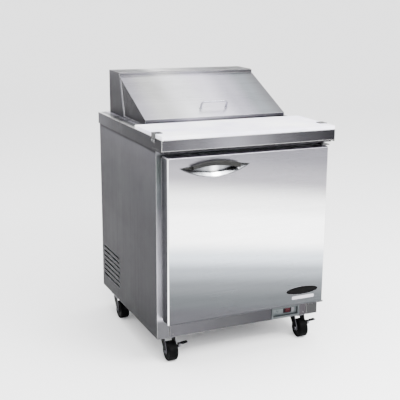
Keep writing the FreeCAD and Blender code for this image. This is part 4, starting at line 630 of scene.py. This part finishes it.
# the lid's upright faces take the painted lip shading below 0.94 m and the painted band shading above 0.96 m
LID_UPRIGHT_PAINTED_SHADING = across(2, 0.94, 0.96, LIP_PAINTED_SHADING, BAND_PAINTED_SHADING)
# painted shade on the lid's side faces, and a painted highlight on their outer hem beyond 0.2988 m from the
# middle
LID_SIDE_PAINTED_SHADING = across(0, 0.2984, 0.2988, HOOD_SIDE_PAINTED_SHADE, plain("#b4b3b8", SIDE_LIGHT), True)


def make_materials():
    made = {
        "side_steel": steel("side_panel_steel", PANEL_PAINTED_SHADE, "z", 0.36, 0.006),
        "plain_steel": steel("rear_steel", plain("#a0a0a4"), "x", 0.42),
        # posts: painted shade, a fixed darker grey on their side faces
        "post_steel": steel("post_steel", faced(POST_PAINTED_SHADING, (0, 0.35, 0.75, plain("#76757a"))), "z", 0.34),
        "kick_steel": steel("kick_steel", KICK_PAINTED_SHADING, "x", 0.36),
        # worktop: its edge highlight is painted only on edges above 0.820 m
        "top_steel": steel("worktop_steel", faced(RAIL_FRONT_PAINTED_SHADING, (2, 0.97, 0.995, DECK_PAINTED_SHADING),
                                                  (0, 0.35, 0.75, TOP_SIDE_PAINTED_SHADING)), "x", 0.30, 0.03,
                           ("#f4f4f6", 0.0035, 0.8, 0.820)),
        "lid_steel": steel("lid_steel", faced(SLOPE_PAINTED_REFLECTION, (1, 0.9, 0.97, LID_UPRIGHT_PAINTED_SHADING),
                                              (0, 0.35, 0.75, LID_SIDE_PAINTED_SHADING)), "x", 0.30),
        "hood_steel": steel("hood_steel", faced(plain("#9c9ba0"), (2, 0.97, 0.995, HOOD_TOP_PAINTED_SHADING),
                                                (0, 0.35, 0.75, HOOD_SIDE_PAINTED_SHADE)), "x", 0.32),
        # door: a painted white highlight on its rounded upright corners, painted shade on its sides and a
        # fixed pale grey painted on its top and bottom faces
        "door_steel": steel("door_steel", faced(DOOR_PAINTED_REFLECTION, (0, 0.22, 0.45, plain("#ffffff", FRONT_LIGHT)),
                                                (0, 0.80, 0.93, DOOR_SIDE_PAINTED_SHADE),
                                                (2, 0.90, 0.97, plain("#c0bfc4"))), "x", 0.30),
        "clip_steel": metal("clip_steel", "#807f84", 0.28),
        "board_clip_steel": metal("board_clip_steel", tone("#5a595e", 8.0), 0.38),
        "bracket_steel": metal("bracket_steel", tone("#6c6b70", FRONT_LIGHT), 0.38),
        "pan_steel": metal("pan_steel", tone("#d0d0d4", PAN_LIGHT), 0.36),
        "liner_metal": metal("liner_metal", "#c9cbce", 0.36, 0.1, 200),
        "coil_fins": fin_material(),
        "zinc_steel": metal("zinc_plate", "#b7b8bb", 0.30, 0.1, 300),
        "wire_chrome": metal("pull_chrome", "#c9c9cd", 0.25, 0.05),
        # dish: a faint highlight painted along its edges
        "dish_chrome": steel("dish_chrome", DISH_PAINTED_HIGHLIGHT, "x", 0.28, 0.01, ("#b9b9bc", 0.001, 0.2, 0.0)),
        "bezel_plastic": plastic("bezel_grey", "#70777a", "#7b8284", 0.4, gloss=0.2),
        "black_plastic": plastic("black_plastic", "#161617", "#232325", 0.45, gloss=0.15),
        "face_plastic": plastic("controller_face", tone("#687072", RECESS_LIGHT),
                                tone("#72797b", RECESS_LIGHT), 0.4, gloss=0.1),
        "set_plastic": plastic("set_key_grey", "#7d8588", "#868d90", 0.35, gloss=0.2),
        "key_plastic": plastic("key_grey", "#a3a2a7", "#adacb1", 0.3, gloss=0.3),
        "grey_plastic": plastic("grey_plastic", "#97989b", "#a5a6a9", 0.5),
        "grip_plastic": plastic("grip_grey", "#2b2b2b", "#373735", 0.35, 500, gloss=0.1),
        "pedal_plastic": plastic("pedal_black", "#08080a", "#111113", 0.6, gloss=0.02),
        "board_plastic": board_material(),
        "shelf_coating": coated("shelf_epoxy", "#d6d8d8", "#e2e4e4", 0.3),
        "motor_paint": coated("machine_black", "#0f0f10", "#19191b", 0.4),
        "caster_black": fork_material(),
        "copper": metal("copper_tube", "#b87050", 0.3, 0.1, 90),
        "gasket_rubber": plastic("gasket_grey", "#8d8d90", "#9a9a9d", 0.6),
        "wheel_rubber": plastic("wheel_black", "#050506", "#0d0d0e", 0.6, 400, 0.00015, gloss=0.03),
        "foam": foam_material(),
        "badge_black": plastic("badge_black", "#020203", "#050506", 0.5, 300, 0.00002, gloss=0.05),
        "badge_rim": metal("badge_rim", "#b9b9bc", 0.3),
        "label_white": plastic("label_white", "#c4c3c6", "#d0cfd2", 0.5, 600, 0.00003),
        "display_glass": plastic("display_glass", "#2a151f", "#351c28", 0.35, 200, 0.00001, gloss=0.03),
        "display_light": digit_material(),
        "screw_steel": metal("screw_steel", "#c0c0c4", 0.22),
        "dark_screw": metal("dark_screw", "#77767b", 0.35),
    }
    return made


OTHER_SLOT = {"front_frame": "post_steel", "kick_panel": "kick_steel", "lid_shell": "lid_steel",
              "controller": "face_plastic", "set_key": "set_plastic", "board_clips": "board_clip_steel",
              "hinge_brackets": "bracket_steel"}


def dress_nodes(made):
    """Give every CAD node the material of its slot."""
    slots = {row["node"]: row["material_slot"] for row in frame["record"]["subparts"]}
    for name, piece in NODES.items():
        piece.data.materials.clear()
        piece.data.materials.append(made[OTHER_SLOT.get(name, slots[name])])


# ---- pieces added to the CAD --------------------------------------------------------------
DOOR_FACE = 0.003
FACE_DEPTH = 0.0841            # front of the controller
FRAME_FACE = 0.0708            # front of the posts
KICK_FACE = 0.072
COVER_FACE = 0.600             # front of the evaporator cover

SEGMENTS = {"3": "abgcd", "8": "abcdefg"}


def digit(mesh, middle, low, wide, high, lit, near, far):
    """One seven-segment figure made of six-sided bars."""
    bar = wide * 0.17
    half_w, half_h = wide / 2, high / 2
    ends = {"a": ((-1, 2), (1, 2)), "b": ((1, 2), (1, 1)), "c": ((1, 1), (1, 0)), "d": ((-1, 0), (1, 0)),
            "e": ((-1, 1), (-1, 0)), "f": ((-1, 2), (-1, 1)), "g": ((-1, 1), (1, 1))}
    for name in lit:
        (u0, v0), (u1, v1) = [(middle + u * half_w, low + v * half_h) for u, v in ends[name]]
        run = Vector((u1 - u0, v1 - v0)).normalized()
        side = Vector((-run.y, run.x)) * bar / 2
        start = Vector((u0, v0)) + run * bar * 0.15
        stop = Vector((u1, v1)) - run * bar * 0.15
        inner = run * bar / 2
        points = [start, start + inner + side, stop - inner + side,
                  stop, stop - inner - side, start + inner - side]
        front = [mesh.verts.new(front_place(p.x, p.y, near)) for p in points]
        back = [mesh.verts.new(front_place(p.x, p.y, far)) for p in points]
        mesh.faces.new(front)
        mesh.faces.new(list(reversed(back)))
        for i in range(6):
            j = (i + 1) % 6
            mesh.faces.new((front[i], back[i], back[j], front[j]))


def add_door_pieces(made):
    rim_out = oval(0.231, 0.236, 0.0712, 0.0166)
    fitted(plate("badge_rim", rim_out, DOOR_FACE - 0.0011, DOOR_FACE, 0.0004),
           "door", "badge_rim", made, True)
    plaque = oval(0.231, 0.236, 0.0704, 0.0158)
    fitted(plate("badge_face", plaque, DOOR_FACE - 0.0015, DOOR_FACE - 0.0009, 0.0003),
           "door", "badge_black", made)
    strip = oval(0.2365, 0.2075, 0.0485, 0.0065, 64, 12)
    fitted(plate("door_label", strip, DOOR_FACE - 0.0004, DOOR_FACE, 0.0001), "door", "label_white", made)


def add_front_pieces(made):
    window = oval(0.2145, 0.1255, 0.0182, 0.0102, 64, 14)
    fitted(plate("display_window", window, FACE_DEPTH + 0.0003, FACE_DEPTH + 0.0010, 0.0002),
           "cabinet", "display_glass", made)
    mesh = bmesh.new()
    for middle, figure in ((0.2085, "3"), (0.2210, "8")):
        digit(mesh, middle, 0.1190, 0.0068, 0.0130, SEGMENTS[figure],
              FACE_DEPTH + 0.0001, FACE_DEPTH + 0.0004)
    fitted(to_object(mesh, "display_figures"), "cabinet", "display_light", made)
    spots = [(u, v) for u in (-0.281, 0.281) for v in (0.112, 0.161)]
    fitted(screws("kick_screws", spots, KICK_FACE, 0.0028, 0.0015), "cabinet", "dark_screw", made)
    foot = FRAME_FACE - 0.003
    spots = [(0.309, 0.8085), (0.331, 0.8085), (0.309, 0.1555), (0.331, 0.1555)]
    fitted(screws("bracket_screws", spots, foot, 0.0030, 0.0018), "cabinet", "dark_screw", made)


def add_inside_pieces(made):
    spots = [(u, v) for u in (-0.228, 0.228) for v in (0.518, 0.722)]
    fitted(screws("cover_screws", spots, COVER_FACE, 0.0040, 0.0022), "cabinet", "screw_steel", made)


def add_back_and_side_pieces(made):
    profile = [(0.0052, 0.7315), (0.0052, 0.7395), (0.0088, 0.7397), (0.0088, 0.7386), (0.0088, 0.7372),
               (0.0120, 0.7370), (0.0120, 0.7345), (0.0085, 0.7315)]
    fitted(ring("cord_grommet", 0.300, 0.320, profile), "cabinet", "wheel_rubber", made, True)
    side = 0.34425
    rating = oval(0.600, 0.700, 0.045, 0.028, 64, 12)
    fitted(plate("rating_plate", rating, side + 0.0005, side, 0.0001, right_place),
           "cabinet", "badge_rim", made)
    spots = [(u, v) for u in (0.561, 0.639) for v in (0.678, 0.722)]
    fitted(screws("rating_rivets", spots, side + 0.0005, 0.0018, 0.0008, right_place, 1),
           "cabinet", "screw_steel", made)


materials = make_materials()
make_camera()
make_stage()
make_light()
dress_nodes(materials)
add_door_pieces(materials)
add_front_pieces(materials)
add_inside_pieces(materials)
add_back_and_side_pieces(materials)
